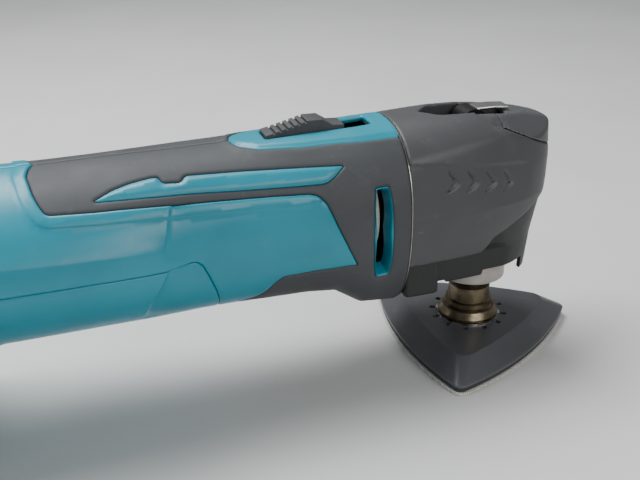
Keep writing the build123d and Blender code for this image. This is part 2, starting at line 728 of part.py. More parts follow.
write(bearing(Plane.XY.offset(sum(lower_bearing_heights) / 2).move(Location((spindle_x, 0, 0))),
              journal, bearing_radius, 7.0, 9), "lower_spindle_bearing")
write(bearing(Plane.XY.offset(sum(upper_bearing_heights) / 2).move(Location((spindle_x, 0, 0))),
              journal, bearing_radius, 7.0, 9), "upper_spindle_bearing")


# --------------------------------------------------------------------- the pad
def pad_sketch(height, corner_reach, side_reach, rounding):
    """A three-cornered outline with bowed sides, one corner pointing forward."""
    corners = [
        (corner_reach * cos(2 * pi * k / 3), corner_reach * sin(2 * pi * k / 3)) for k in range(3)
    ]
    middles = [
        (side_reach * cos(2 * pi * (k + 0.5) / 3), side_reach * sin(2 * pi * (k + 0.5) / 3))
        for k in range(3)
    ]
    with BuildSketch(Plane.XY.offset(height).move(Location((spindle_x, 0, 0)))) as outline:
        with BuildLine():
            for k in range(3):
                ThreePointArc(corners[k], middles[k], corners[(k + 1) % 3])
        make_face()
        fillet(outline.vertices(), rounding)
    return outline.sketch


bolt_recess = 9.2
rim_top = cushion_top + 1.2
with BuildPart() as pad_body:
    extrude(pad_sketch(cushion_top, *pad_base), amount=rim_top - cushion_top)
    rim, plateau = pad_sketch(rim_top, *pad_base), pad_sketch(pad_top, *pad_plateau)
    loft([rim.face(), plateau.face()])
    post(0.0, 0.0, (0, bolt_head_heights[1] + 0.2), bolt_recess, mode=Mode.SUBTRACT)
    post(0.0, 0.0, (0, 20), guide, mode=Mode.SUBTRACT)
    with Locations((spindle_x, 0, pad_top)):
        with PolarLocations(drive_hole_ring, drive_holes):
            Box(2.6, 2.2, 3.0, mode=Mode.SUBTRACT)
write(pad_body, "pad_body")

with BuildPart() as pad_cushion:
    extrude(pad_sketch(hook_thickness, *pad_base), amount=cushion_top - hook_thickness)
    post(0.0, 0.0, (0, 10), bolt_recess, mode=Mode.SUBTRACT)
write(pad_cushion, "pad_cushion")

with BuildPart() as hook_layer:
    outline = pad_sketch(0.0, pad_base[0] - 0.4, pad_base[1] - 0.4, pad_base[2])
    extrude(outline, amount=hook_thickness)
    post(0.0, 0.0, (-1, 10), bolt_recess + 1.0, mode=Mode.SUBTRACT)
write(hook_layer, "hook_layer")

with BuildPart() as pad_insert:
    post(0.0, 0.0, (pad_top, pad_top + 0.7), 14.3)
    with Locations((spindle_x, 0, pad_top + 0.35)):
        with PolarLocations(14.2, drive_holes):
            Box(1.6, 3.0, 0.7)
    post(0.0, 0.0, (pad_top, 20), guide, mode=Mode.SUBTRACT)
write(pad_insert, "pad_insert")

# ------------------------------------------------------------------- the head
def skirt_plan(inset, heights):
    """The skirt's plan drawn upward between two heights."""
    with BuildPart() as solid:
        with BuildSketch(Plane.XY.offset(heights[0])) as plan:
            with Locations((spindle_x + sum(skirt_along) / 2, 0)):
                Rectangle(skirt_along[1] - skirt_along[0] - 2 * inset, 2 * (skirt_half_width - inset))
            fillet(plan.vertices().group_by(Axis.X)[-1], skirt_corner - inset)
        extrude(amount=heights[1] - heights[0])
    return solid.part


head_outer = head_form(0.0, head_bottom)
head_inner = head_form(cover_wall, head_bottom)
slope = (lever_seam[1][1] - lever_seam[0][1]) / (lever_seam[1][0] - lever_seam[0][0])


def above_seam(lift, start):
    """Everything above the lever's seam line, moved up by lift, forward of start."""
    low = lever_seam[0][1] + slope * (start - lever_seam[0][0]) + lift
    far = 40.0
    far_low = lever_seam[0][1] + slope * (far - lever_seam[0][0]) + lift
    return side_prism([(start, low), (far, far_low), (far, 130.0), (start, 130.0)])


wide_start = 2.0  # the lever is full width forward of here, narrow behind it
narrow_start = -1.0
cover_end = wide_start - 3.4  # leaves room for the lever's rear edge as it swings up
lever_lift = 0.5
skirt_along, skirt_half_width, skirt_corner, skirt_wall = (-29.0, 22.0), 21.0, 10.0, 2.6
skirt_low, lip_low = 43.0, 40.0
# The cover's lower edge rises at the cheeks, where the skirt shows.
cheek_outline = [
    (-6.0, 50.0), (-4.0, 63.0), (5.0, 67.5), (14.0, 71.0), (22.0, 78.0), (40.0, 80.0), (40.0, 50.0),
]
cheek_zone = side_prism(cheek_outline)
recess_floor = 98.2

with BuildPart() as head_cover:
    add(head_outer)
    add(head_inner, mode=Mode.SUBTRACT)
    add(above_seam(0.0, cover_end), mode=Mode.SUBTRACT)
    add(cheek_zone, mode=Mode.SUBTRACT)
    box((recess_along[0], wide_start), (-recess_half_width, recess_half_width), (recess_floor, 130),
        mode=Mode.SUBTRACT)
write(head_cover, "head_cover")

skirt_core = skirt_plan(skirt_wall, (lip_low - 1, 90.0))
with BuildPart() as cheeks_cut:
    add(cheek_zone)
    add(skirt_core, mode=Mode.SUBTRACT)

pin_radius = 2.5
pin_half_length = 15.5
retainer_screw_ring = 15.9
retainer_screw_radius = 1.5
bulkhead_along = (-49.5, seam_along + seam_gap)
crank_room = (-46.0, -38.0)
with BuildPart() as bulkhead:
    add(long_form(body_stations, wall + 0.2))
    box(bulkhead_along, (-body_reach, body_reach), (20, 120), mode=Mode.INTERSECT)
    fore_rod((-53.0, -42.0), 0.0, motor_height, front_bearing[0] + 3.0)
    box((seam_along - 1.0, -42.0), (-23.0, 23.0), (60.0, 100.0))
with BuildPart() as gear_cuts:
    # the front bearing, and the way through for the crank
    fore_rod((-54.0, front_bearing_along + front_bearing[1]), 0.0, motor_height, front_bearing[0])
    fore_rod((-50.0, -40.0), 0.0, motor_height, 9.8)
    box(crank_room, (-17, 17), (66, 89))
    box((crank_room[1] - 0.5, 0.0), (-17, 17), (67, 88))
    # the chamber of the spindle and the swing fork
    post(0.0, 0.0, (61.2, 91.0), 13.2)
    post(0.0, 0.0, (67.0, 88.0), 17.0)
    post(0.0, 0.0, (0, lower_bearing_heights[1]), bearing_radius)
    post(0.0, 0.0, (upper_bearing_heights[0], 130), bearing_radius)
    # the lever's recess and the pin through its two ears
    box((recess_along[0], 6.2), (-recess_half_width, recess_half_width), (recess_floor, 130))
    cross_rod(pivot_along, (-pin_half_length, pin_half_length), pivot_height, pin_radius)
    with Locations((spindle_x, 0, 0)):
        with PolarLocations(retainer_screw_ring, 4, start_angle=45):
            Cylinder(retainer_screw_radius, 66.0, align=(Align.CENTER, Align.CENTER, Align.MIN))
    add(above_seam(0.0, wide_start))
    add(cheeks_cut.part)
with BuildPart() as gear_housing:
    add(head_inner)
    add(bulkhead.part)
    add(gear_cuts.part, mode=Mode.SUBTRACT)
write(gear_housing, "gear_housing")

with BuildPart() as lever_pin:
    cross_rod(pivot_along, (-pin_half_length, pin_half_length), pivot_height, pin_radius)
write(lever_pin, "lever_pin")

seal_heights = (37.0, 41.0)
seal_radius = 12.2
retainer_flange = (51.5, head_bottom)
with BuildPart() as bearing_retainer:
    add(turned_on_spindle([
        (seal_radius, 34.7), (15.5, 34.7), (15.5, 45.5), (13.4, 45.5), (13.4, retainer_flange[0]),
        (18.2, retainer_flange[0]), (18.2, retainer_flange[1]), (bearing_radius, retainer_flange[1]),
        (bearing_radius, lower_bearing_heights[0]), (seal_radius, lower_bearing_heights[0]),
    ]))
    with Locations((spindle_x, 0, retainer_flange[0])):
        with PolarLocations(retainer_screw_ring, 4, start_angle=45):
            Cylinder(retainer_screw_radius, 10.0, align=(Align.CENTER, Align.CENTER, Align.MIN),
                     mode=Mode.SUBTRACT)
write(bearing_retainer, "bearing_retainer")

with BuildPart() as dust_seal:
    add(turned_on_spindle([
        (neck + running_gap, seal_heights[0]), (seal_radius, seal_heights[0]),
        (seal_radius, seal_heights[1]), (neck + running_gap, seal_heights[1]),
    ]))
write(dust_seal, "dust_seal")

with BuildPart() as retainer_screws:
    with Locations((spindle_x, 0, retainer_flange[0])):
        with PolarLocations(retainer_screw_ring, 4, start_angle=45):
            Cylinder(retainer_screw_radius, 14.0, align=(Align.CENTER, Align.CENTER, Align.MIN))
            Cylinder(2.4, 2.4, align=(Align.CENTER, Align.CENTER, Align.MAX))
write(retainer_screws, "retainer_screws")

boss_along, boss_half_width = (seam_along + seam_gap, -28.0), 24.5
lamp_radius, lamp_height = 4.0, 48.5
lamp_along = (-33.0, -27.7)
with BuildPart() as head_skirt:
    add(skirt_plan(0.0, (skirt_low, head_bottom)))
    add(skirt_core, mode=Mode.SUBTRACT)
    box((-24.0, -20.0), (-25, 25), (30, 48), mode=Mode.SUBTRACT)
    add(skirt_plan(0.0, (head_bottom, 76.0)).intersect(cheeks_cut.part))
with BuildPart() as skirt_front:  # the deeper lip across the front
    add(skirt_plan(0.0, (lip_low, head_bottom)))
    add(skirt_core, mode=Mode.SUBTRACT)
    box((-60, 17.0), (-40, 40), (0, 100), mode=Mode.SUBTRACT)
with BuildPart() as lamp_boss:
    box(boss_along, (-boss_half_width, boss_half_width), (lip_low, head_bottom))
    fillet(lamp_boss.edges().filter_by(Axis.Z).group_by(Axis.X)[-1], 5.0)
    box((boss_along[0] - 1, boss_along[1] - 5.9), (3.0 - boss_half_width, boss_half_width - 3.0),
        (lip_low + 2.5, head_bottom + 1), mode=Mode.SUBTRACT)
with BuildPart() as head_skirt_whole:
    add(head_skirt.part)
    add(skirt_front.part)
    add(lamp_boss.part)
    fore_rod((-50.0, -20.0), 0.0, lamp_height, lamp_radius + 0.1, mode=Mode.SUBTRACT)
write(head_skirt_whole, "head_skirt")

with BuildPart() as led_lens:
    fore_rod(lamp_along, 0.0, lamp_height, lamp_radius)
    fillet(led_lens.edges().sort_by(Axis.X)[-1], 2.4)
write(led_lens, "led_lens")

with BuildPart() as led_board:
    box((-36.0, -34.4), (-6.0, 6.0), (44.5, 53.5))
    fore_rod((-34.4, -33.1), 0.0, lamp_height, 2.0)
write(led_board, "led_board")

# ------------------------------------------------------------ lock lever and cam
arm_along, arm_half_width, arm_heights = (pivot_along, 18.0), 5.0, (107.8, 110.6)
with BuildPart() as lever_cam:
    with BuildSketch(Plane.XZ):
        with BuildLine():
            outline = []
            for k in range(25):
                turn = 2 * pi * k / 24  # from straight down, round by the rear
                lobe = min(turn / (pi / 2), 1.0)
                fade = max(0.0, min(1.0, (turn - 0.75 * pi) / (0.75 * pi)))
                radius = cam_closed + (cam_open - cam_closed) * lobe * (1 - fade)
                outline.append((
                    spindle_x + pivot_along - radius * sin(turn), pivot_height - radius * cos(turn),
                ))
            Spline(*outline[:-1], periodic=True)
        make_face()
    extrude(amount=arm_half_width, both=True)
    box(arm_along, (-arm_half_width, arm_half_width), arm_heights)
    cross_rod(pivot_along, (-10, 10), pivot_height, pin_radius + running_gap, mode=Mode.SUBTRACT)
write(lever_cam, "lever_cam")

with BuildPart() as lever_room:  # where the lever's wide and narrow parts may be
    box((wide_start + moving_gap, 60.0), (-body_reach, body_reach), (80, 130))
    box((narrow_start, 60.0), (0.5 - recess_half_width, recess_half_width - 0.5), (80, 130))
with BuildPart() as arm_room:
    box((arm_along[0] - 10, arm_along[1]), (-arm_half_width, arm_half_width),
        (80, arm_heights[1]))
    box((arm_along[0] - 10, 8.0), (-body_reach, body_reach), (80, arm_heights[0] - 1.4))
    cross_rod(pivot_along, (-arm_half_width, arm_half_width), pivot_height, cam_open + 0.2)
with BuildPart() as lock_lever:
    add(head_outer)
    add(above_seam(lever_lift, narrow_start), mode=Mode.INTERSECT)
    add(lever_room.part, mode=Mode.INTERSECT)
    add(arm_room.part, mode=Mode.SUBTRACT)
write(lock_lever, "lock_lever")
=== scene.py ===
import json
import math

import bpy
import numpy as np
from mathutils import Matrix, Vector
from mathutils.geometry import delaunay_2d_cdt


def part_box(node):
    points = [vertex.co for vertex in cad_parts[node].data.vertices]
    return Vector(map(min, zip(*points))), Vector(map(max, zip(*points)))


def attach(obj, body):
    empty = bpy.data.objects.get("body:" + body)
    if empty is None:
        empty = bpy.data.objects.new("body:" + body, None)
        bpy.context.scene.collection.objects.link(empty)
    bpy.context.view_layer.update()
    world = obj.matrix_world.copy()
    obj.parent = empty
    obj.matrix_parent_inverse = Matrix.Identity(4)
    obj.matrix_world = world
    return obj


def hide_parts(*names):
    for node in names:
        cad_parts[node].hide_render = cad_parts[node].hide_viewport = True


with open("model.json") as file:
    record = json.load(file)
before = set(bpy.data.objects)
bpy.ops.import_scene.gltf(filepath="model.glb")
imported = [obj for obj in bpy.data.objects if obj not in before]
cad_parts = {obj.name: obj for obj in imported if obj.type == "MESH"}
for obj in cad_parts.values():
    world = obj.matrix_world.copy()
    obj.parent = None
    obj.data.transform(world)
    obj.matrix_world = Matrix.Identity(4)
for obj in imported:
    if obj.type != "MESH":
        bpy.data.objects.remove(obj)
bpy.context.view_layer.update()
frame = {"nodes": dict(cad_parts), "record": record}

# Lengths below are millimetres. "Along" values are measured forward from the
# spindle's axis, heights from the surface the tool stands on.
MM = 0.001
spindle_low, spindle_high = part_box("spindle")
SPINDLE_X = (spindle_low.x + spindle_high.x) / 2 / MM
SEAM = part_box("housing_left")[1].x / MM - SPINDLE_X  # where the grip meets the head
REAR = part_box("housing_left")[0].x / MM - SPINDLE_X  # the rear wall
PIVOT = [(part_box("lever_pin")[0][i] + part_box("lever_pin")[1][i]) / 2 / MM for i in (0, 2)]
PIVOT[0] -= SPINDLE_X
HALF_GIRTH = 105.0  # the half section's length that the panels are laid out on


# ------------------------------------------------------------------ materials
def linear(red, green, blue):
    """A colour given as 0-255 display values, as linear light."""
    out = []
    for value in (red, green, blue):
        c = value / 255.0
        out.append(c / 12.92 if c <= 0.04045 else ((c + 0.055) / 1.055) ** 2.4)
    return (*out, 1.0)


class Look:
    """A node material with helpers that add one node each."""

    def __init__(self, name, roughness, metallic=0.0, specular=0.5, ior=1.5):
        self.material = bpy.data.materials.new(name)
        self.material.use_nodes = True
        self.tree = self.material.node_tree
        self.tree.nodes.clear()
        output = self.add("ShaderNodeOutputMaterial")
        self.shader = self.add("ShaderNodeBsdfPrincipled")
        self.link(self.shader, "BSDF", output, "Surface")
        for socket, value in (("Roughness", roughness), ("Metallic", metallic),
                              ("Specular IOR Level", specular), ("IOR", ior)):
            self.shader.inputs[socket].default_value = value
        self.place = self.add("ShaderNodeTexCoord")

    def add(self, kind):
        return self.tree.nodes.new(kind)

    def link(self, source, out, target, into):
        self.tree.links.new(source.outputs[out], target.inputs[into])

    def noise(self, scale, detail=3.0, rough=0.55, stretch=None):
        node = self.add("ShaderNodeTexNoise")
        for socket, value in (("Scale", scale), ("Detail", detail), ("Roughness", rough)):
            node.inputs[socket].default_value = value
        if stretch:
            mapping = self.add("ShaderNodeMapping")
            mapping.inputs["Scale"].default_value = stretch
            self.link(self.place, "Object", mapping, "Vector")
            self.link(mapping, "Vector", node, "Vector")
        else:
            self.link(self.place, "Object", node, "Vector")
        return node

    def cells(self, scale):
        node = self.add("ShaderNodeTexVoronoi")
        node.inputs["Scale"].default_value = scale
        self.link(self.place, "Object", node, "Vector")
        return node

    def ramp(self, source, out, stops):
        node = self.add("ShaderNodeValToRGB")
        marks = node.color_ramp.elements
        while len(marks) < len(stops):
            marks.new(0.5)
        for mark, (at, colour) in zip(marks, stops):
            mark.position = at
            mark.color = colour
        self.link(source, out, node, "Fac")
        return node

    def mask(self, source, low, high, out="Fac"):
        """0 below low, 1 above high."""
        node = self.add("ShaderNodeMapRange")
        node.inputs["From Min"].default_value = low
        node.inputs["From Max"].default_value = high
        self.link(source, out, node, "Value")
        return node

    def fill(self, sockets, values):
        """Sets each socket to a constant or links it to another socket."""
        for socket, value in zip(sockets, values):
            if isinstance(value, bpy.types.NodeSocket):
                self.tree.links.new(value, socket)
            else:
                socket.default_value = value

    def product(self, first, second):
        node = self.add("ShaderNodeMath")
        node.operation = "MULTIPLY"
        self.fill(node.inputs, (first, second))
        return node.outputs[0]

    def share(self, source, low, high, amount):
        """Runs from 0 to amount as a texture passes from low to high."""
        return self.product(self.mask(source, low, high).outputs[0], amount)

    def mix(self, factor, first, second):
        """Mixes two colours, each a constant or a socket."""
        node = self.add("ShaderNodeMix")
        node.data_type = "RGBA"
        self.fill((node.inputs[0], node.inputs[6], node.inputs[7]), (factor, first, second))
        return node.outputs[2]

    def colour(self, socket):
        self.tree.links.new(socket, self.shader.inputs["Base Color"])

    def roughen(self, source, out, low, high):
        """Roughness that runs from low to high with a 0-1 source."""
        node = self.add("ShaderNodeMapRange")
        node.inputs["To Min"].default_value = low
        node.inputs["To Max"].default_value = high
        self.link(source, out, node, "Value")
        self.link(node, "Result", self.shader, "Roughness")

    def bump(self, layers):
        """Layers of (socket, height in metres, strength), coarse to fine."""
        last = None
        for socket, height, strength in layers:
            node = self.add("ShaderNodeBump")
            node.inputs["Strength"].default_value = strength
            node.inputs["Distance"].default_value = height
            self.tree.links.new(socket, node.inputs["Height"])
            if last is not None:
                self.tree.links.new(last.outputs["Normal"], node.inputs["Normal"])
            last = node
        self.tree.links.new(last.outputs["Normal"], self.shader.inputs["Normal"])


def scaled(base, share):
    """A colour made darker or lighter."""
    return [min(1.0, c * share) for c in base[:3]] + [1.0]


def moulded(name, base, roughness, grain=0.35, grain_height=0.03, wear=0.25, dust=0.18,
            specular=0.5, rough_swing=0.12):
    """Moulded plastic or elastomer: spark-eroded grain, faint flow, handling scuffs,
    pale dust and edges rubbed lighter."""
    look = Look(name, roughness, specular=specular)
    grain_noise = look.noise(1.0 / (grain * MM), 2.0, 0.6)
    flow = look.noise(26.0, 4.0, 0.5)
    dull = look.noise(85.0, 6.0, 0.68)
    scuffs = look.noise(60.0, 5.0, 0.7, stretch=(1.0, 7.0, 9.0))
    light = [min(1.0, c * 1.1 + 0.002) for c in base[:3]] + [1.0]
    body = look.ramp(flow, "Fac", [(0.3, scaled(base, 0.86)), (0.5, base), (0.72, light)])
    pale = [min(1.0, c * 0.55 + 0.23) for c in base[:3]] + [1.0]
    dusted = look.mix(look.share(dull, 0.58, 0.86, dust), body.outputs[0], pale)
    scratched = look.mix(look.share(scuffs, 0.66, 0.74, dust * 0.9), dusted, pale)
    place = look.add("ShaderNodeNewGeometry")
    edge = look.mask(place, 0.53, 0.62, "Pointiness")
    patchy = look.product(edge.outputs[0], dull.outputs["Fac"])
    look.colour(look.mix(look.product(patchy, wear), scratched, pale))
    look.roughen(dull, "Fac", roughness - rough_swing, roughness + rough_swing)
    look.bump([(scuffs.outputs["Fac"], 0.00004, 0.12),
               (grain_noise.outputs["Fac"], grain_height * MM, 0.45)])
    return look.material


def metal(name, base, roughness, streak=(1.0, 1.0, 1.0), patina=None, share=0.5, scale=240.0):
    """Machined metal: fine tool marks along one way, blotches of patina, uneven gloss."""
    look = Look(name, roughness, metallic=1.0)
    marks = look.noise(scale, 4.0, 0.6, stretch=streak)
    blotch = look.noise(170.0, 5.0, 0.62)
    stained = look.mix(look.share(blotch, 0.42, 0.68, share), base, patina or scaled(base, 0.55))
    look.colour(look.mix(look.share(marks, 0.35, 0.7, 0.22), stained, scaled(base, 0.4)))
    look.roughen(blotch, "Fac", roughness - 0.1, roughness + 0.16)
    look.bump([(blotch.outputs["Fac"], 0.00003, 0.2), (marks.outputs["Fac"], 0.00002, 0.3)])
    return look.material


def cast(name, base, roughness):
    """Die-cast alloy with a fine sandy skin."""
    look = Look(name, roughness, metallic=0.75)
    sand = look.noise(2400.0, 2.0, 0.6)
    tone = look.noise(120.0, 4.0, 0.6)
    body = look.ramp(tone, "Fac", [(0.32, scaled(base, 0.72)), (0.6, base)])
    look.colour(body.outputs[0])
    look.roughen(tone, "Fac", roughness - 0.08, roughness + 0.14)
    look.bump([(tone.outputs["Fac"], 0.00006, 0.25), (sand.outputs["Fac"], 0.00003, 0.5)])
    return look.material


def foam(name, base):
    """Closed-cell foam: small pores in two sizes, the small ones painted darker as painted shade
    inside them.
    """
    look = Look(name, 0.92, specular=0.25)
    pores = look.cells(1500.0)
    large = look.cells(520.0)
    tone = look.noise(160.0, 4.0, 0.6)
    # Painted shade: the small pores are coloured darker where the bump sinks them.
    body = look.ramp(pores, "Distance", [(0.12, scaled(base, 0.5)), (0.42, base)])
    look.colour(look.mix(look.share(tone, 0.35, 0.8, 0.35), body.outputs[0], scaled(base, 0.8)))
    look.bump([(large.outputs["Distance"], 0.00016, 0.5), (pores.outputs["Distance"], 0.0001, 0.7)])
    look.shader.inputs["Sheen Weight"].default_value = 0.15
    return look.material


def hooks(name, base):
    """Moulded hook fabric: rows of hooks with a woven ground between them, the ground painted
    darker as painted shade between the hooks.
    """
    look = Look(name, 0.85, specular=0.3)
    waves = []
    for way, scale in (("X", 310.0), ("Y", 250.0)):
        wave = look.add("ShaderNodeTexWave")
        wave.wave_type = "BANDS"
        wave.bands_direction = way
        wave.inputs["Scale"].default_value = scale
        look.link(look.place, "Object", wave, "Vector")
        waves.append(wave.outputs["Fac"])
    tips = look.product(*waves)
    # Painted shade: the ground between the raised hooks is coloured darker than the hooks.
    body = look.ramp(tips.node, 0, [(0.15, scaled(base, 0.6)), (0.6, base)])
    tone = look.noise(140.0, 4.0, 0.6)
    look.colour(look.mix(look.share(tone, 0.5, 0.8, 0.3), body.outputs[0], linear(150, 142, 128)))
    look.bump([(tips, 0.0003, 0.8)])
    look.shader.inputs["Sheen Weight"].default_value = 0.3
    return look.material


def clear(name):
    """The lamp's moulded lens."""
    look = Look(name, 0.08, ior=1.49)
    ripple = look.noise(900.0, 2.0, 0.5)
    tint = look.ramp(ripple, "Fac", [(0.3, linear(225, 232, 238)), (0.7, linear(250, 252, 255))])
    look.colour(tint.outputs[0])
    look.shader.inputs["Transmission Weight"].default_value = 0.85
    look.bump([(ripple.outputs["Fac"], 0.00002, 0.3)])
    return look.material


looks = {
    "teal": moulded("teal_shell", linear(18, 130, 150), 0.36, 0.4, 0.016, 0.35, 0.1),
    "soft_grip": moulded("soft_grip", linear(62, 64, 67), 0.6, 0.26, 0.05, 0.2, 0.22, 0.42),
    "black_plastic": moulded("black_plastic", linear(34, 35, 38), 0.5, 0.3, 0.03, 0.3, 0.16),
    "head_plastic": moulded("head_plastic", linear(64, 64, 66), 0.46, 0.3, 0.03, 0.3, 0.2),
    "skirt_plastic": moulded("skirt_plastic", linear(20, 20, 21), 0.5, 0.3, 0.03, 0.3, 0.14),
    "lever_plastic": moulded("lever_plastic", linear(68, 69, 71), 0.42, 0.3, 0.03, 0.35, 0.2),
    "white_nylon": moulded("white_nylon", linear(214, 212, 202), 0.45, 0.5, 0.015, 0.1, 0.1),
    "rubber": moulded("rubber", linear(28, 28, 29), 0.75, 0.3, 0.04, 0.2, 0.2, 0.35),
    "pad_plastic": moulded("pad_plastic", linear(74, 75, 78), 0.34, 0.5, 0.014, 0.35, 0.2),
    "battery_plastic": moulded("battery_plastic", linear(32, 33, 35), 0.5, 0.3, 0.03, 0.3, 0.16),
    "carbon": moulded("carbon", linear(38, 36, 35), 0.6, 0.5, 0.03, 0.1, 0.1),
    "ferrite": moulded("ferrite", linear(52, 50, 50), 0.55, 0.7, 0.04, 0.1, 0.1),
    "board": moulded("board", linear(22, 92, 52), 0.4, 0.8, 0.02, 0.1, 0.1),
    "cell_wrap": moulded("cell_wrap", linear(60, 120, 96), 0.3, 1.2, 0.01, 0.1, 0.1),
    "cast_alloy": cast("cast_alloy", linear(176, 168, 164), 0.42),
    "steel": metal("steel", linear(168, 168, 166), 0.3, (1, 1, 14)),
    "cam_steel": metal("cam_steel", linear(58, 57, 56), 0.4, (1, 1, 8)),
    "bright_steel": metal("bright_steel", linear(206, 205, 200), 0.2, (1, 1, 16), share=0.25),
    "bronzed_steel": metal("bronzed_steel", linear(132, 120, 98), 0.3, (1, 1, 16),
                           linear(62, 53, 42), 0.8),
    "zinc_steel": metal("zinc_steel", linear(188, 186, 176), 0.34, (12, 1, 1)),
    "core_steel": metal("core_steel", linear(120, 120, 124), 0.42, (20, 1, 1)),
    "copper": metal("copper", linear(196, 112, 72), 0.3, (1, 9, 9)),
    "brass": metal("brass", linear(196, 164, 96), 0.3, (9, 1, 1)),
    "foam": foam("foam", linear(58, 58, 60)),
    "hook_fabric": hooks("hook_fabric", linear(226, 224, 216)),
    "lens": clear("lens"),
}
slot_of = {entry["node"]: entry["material_slot"] for entry in frame["record"]["subparts"]}
for node, obj in frame["nodes"].items():
    found = "cam_steel" if node == "lever_cam" else slot_of[node]
    if not obj.material_slots:
        obj.data.materials.append(looks[found])
    for held in obj.material_slots:
        held.material = looks[found]

# ------------------------------------------------------- the body's own surface
# Sections from rear to front: along, half width, how creased, height of the widest
# line, top, bottom.
SECTIONS = np.array([
    (-250.0, 40.0, 1.0, 80.0, 112.4, 43.0), (-235.0, 39.5, 1.0, 80.0, 111.6, 42.6),
    (-215.0, 38.5, 1.0, 80.0, 111.6, 42.3), (-200.0, 38.0, 1.0, 80.0, 111.7, 42.0),
    (-180.0, 37.3, 1.0, 80.0, 111.4, 41.9), (-165.0, 36.3, 0.95, 79.5, 111.5, 42.0),
    (-150.0, 34.0, 0.6, 79.0, 111.5, 42.7), (-140.0, 32.3, 0.3, 78.0, 111.4, 43.7),
    (-130.0, 31.3, 0.1, 78.0, 111.4, 44.6), (-115.0, 30.6, 0.0, 78.0, 111.5, 44.6),
    (-100.0, 30.4, 0.0, 78.0, 112.0, 43.9), (-85.0, 30.8, 0.0, 78.0, 112.4, 43.6),
    (-72.0, 31.8, 0.0, 78.0, 112.7, 42.2), (-60.0, 32.3, 0.0, 78.0, 113.1, 33.7),
    (-44.0, 31.0, 0.0, 78.0, 113.8, 31.7)])
FLARE_START, FLARE_END = -205.0, -232.0
SOFT, CREASED = 2.3, 1.72


def smooth(x):
    x = np.clip(x, 0.0, 1.0)
    return x * x * (3.0 - 2.0 * x)


def even_spacing(line, count):
    """The same line as count points at equal distances."""
    step = np.hypot(*np.diff(line, axis=0).T)
    run = np.concatenate([[0.0], np.cumsum(step)])
    at = np.linspace(0.0, run[-1], count)
    return np.stack([np.interp(at, run, line[:, i]) for i in (0, 1)], 1)


def half_section(along, count=211):
    """The section's left half from the top's middle to the bottom's, as (across, height)."""
    width, crease, widest, top, bottom = (np.interp(along, SECTIONS[:, 0], SECTIONS[:, i])
                                          for i in range(1, 6))
    angle = np.linspace(math.pi / 2, -math.pi / 2, 721)
    cosine, sine = np.abs(np.cos(angle)), np.sin(angle)
    cosine[[0, -1]] = 0.0
    reach = np.where(sine > 0, top - widest, widest - bottom)

    def form(power):
        k = (cosine ** power + np.abs(sine) ** power) ** (-1.0 / power)
        return np.stack([k * cosine * width, widest + reach * k * sine], 1)

    line = form(SOFT) * (1 - crease) + form(CREASED) * crease
    line = even_spacing(line, count)
    flare = smooth((FLARE_START - along) / (FLARE_START - FLARE_END))
    if flare > 0:
        low = np.interp(along, [-248.0, -232.0], [1.5, 4.0])
        half, high, corner = 40.0, 113.0, 16.0
        turn = np.linspace(math.pi / 2, 0.0, 24)
        upper = np.stack([half - corner + corner * np.cos(turn),
                          high - corner + corner * np.sin(turn)], 1)
        lower = np.stack([half - corner + corner * np.cos(turn[::-1]),
                          low + corner - corner * np.sin(turn[::-1])], 1)
        square = np.concatenate([[(0.0, high)], upper, lower, [(0.0, low)]])
        line = line * (1 - flare) + even_spacing(square, count) * flare
    line[[0, -1], 0] = 0.0
    return line


ALONGS = np.arange(-250.0, -43.0, 1.0)
TABLE = np.stack([half_section(a) for a in ALONGS])  # along, girth, (across, height)
GIRTHS = np.linspace(0.0, HALF_GIRTH, TABLE.shape[1])


def on_body(flat):
    """(along, girth) points as (along, across, height) on the left half's surface."""
    a = np.clip((flat[:, 0] - ALONGS[0]) / (ALONGS[1] - ALONGS[0]), 0, len(ALONGS) - 1.001)
    g = np.clip(flat[:, 1] / (GIRTHS[1] - GIRTHS[0]), 0, len(GIRTHS) - 1.001)
    i, j = a.astype(int), g.astype(int)
    u, v = (a - i)[:, None], (g - j)[:, None]
    yz = ((TABLE[i, j] * (1 - u) + TABLE[i + 1, j] * u) * (1 - v)
          + (TABLE[i, j + 1] * (1 - u) + TABLE[i + 1, j + 1] * u) * v)
    return np.concatenate([flat[:, :1], yz], 1)


def outward(flat):
    """The surface's outward direction at (along, girth) points."""
    step = 0.9
    ahead = np.array([step, 0.0])
    lengthways = on_body(flat + ahead) - on_body(flat - ahead)
    clipped_up = np.clip(flat[:, 1] + step, 0, HALF_GIRTH)
    clipped_down = np.clip(flat[:, 1] - step, 0, HALF_GIRTH)
    around = (on_body(np.stack([flat[:, 0], clipped_up], 1))
              - on_body(np.stack([flat[:, 0], clipped_down], 1)))
    n = np.cross(around, lengthways)
    middle = (flat[:, 1] < 0.01) | (flat[:, 1] > HALF_GIRTH - 0.01)
    n[middle, 1] = 0.0
    n /= np.linalg.norm(n, axis=1)[:, None]
    facing = np.sign(n[:, 1] * 1.0 + np.where(np.abs(n[:, 1]) < 0.2,
                                              n[:, 2] * np.where(flat[:, 1] < 52, 1, -1), 0))
    return n * np.where(facing == 0, 1.0, facing)[:, None]


def girth_at(along, height):
    """How far round the section a height is, on the side."""
    line = half_section(along)
    return float(np.interp(-height, -line[:, 1], GIRTHS))


def girth_across(along, across):
    """How far round the section a place on the top is."""
    line = half_section(along)
    upper = line[:line[:, 0].argmax() + 1]
    return float(np.interp(across, upper[:, 0], GIRTHS[:len(upper)]))


def side_line(points):
    """Side-view (along, height) points as (along, girth)."""
    return [(a, girth_at(a, z)) for a, z in points]


def top_line(points):
    """Top-view (along, across) points as (along, girth)."""
    return [(a, girth_across(a, y)) for a, y in points]


def to_segments(points, pairs):
    """Distance of each flat point to the nearest of several segments."""
    best = np.full(len(points), 1e9)
    for start, end in pairs:
        d = end - start
        t = np.clip(((points - start) @ d) / max(d @ d, 1e-12), 0, 1)
        off = points - start - t[:, None] * d
        best = np.minimum(best, np.hypot(off[:, 0], off[:, 1]))
    return best


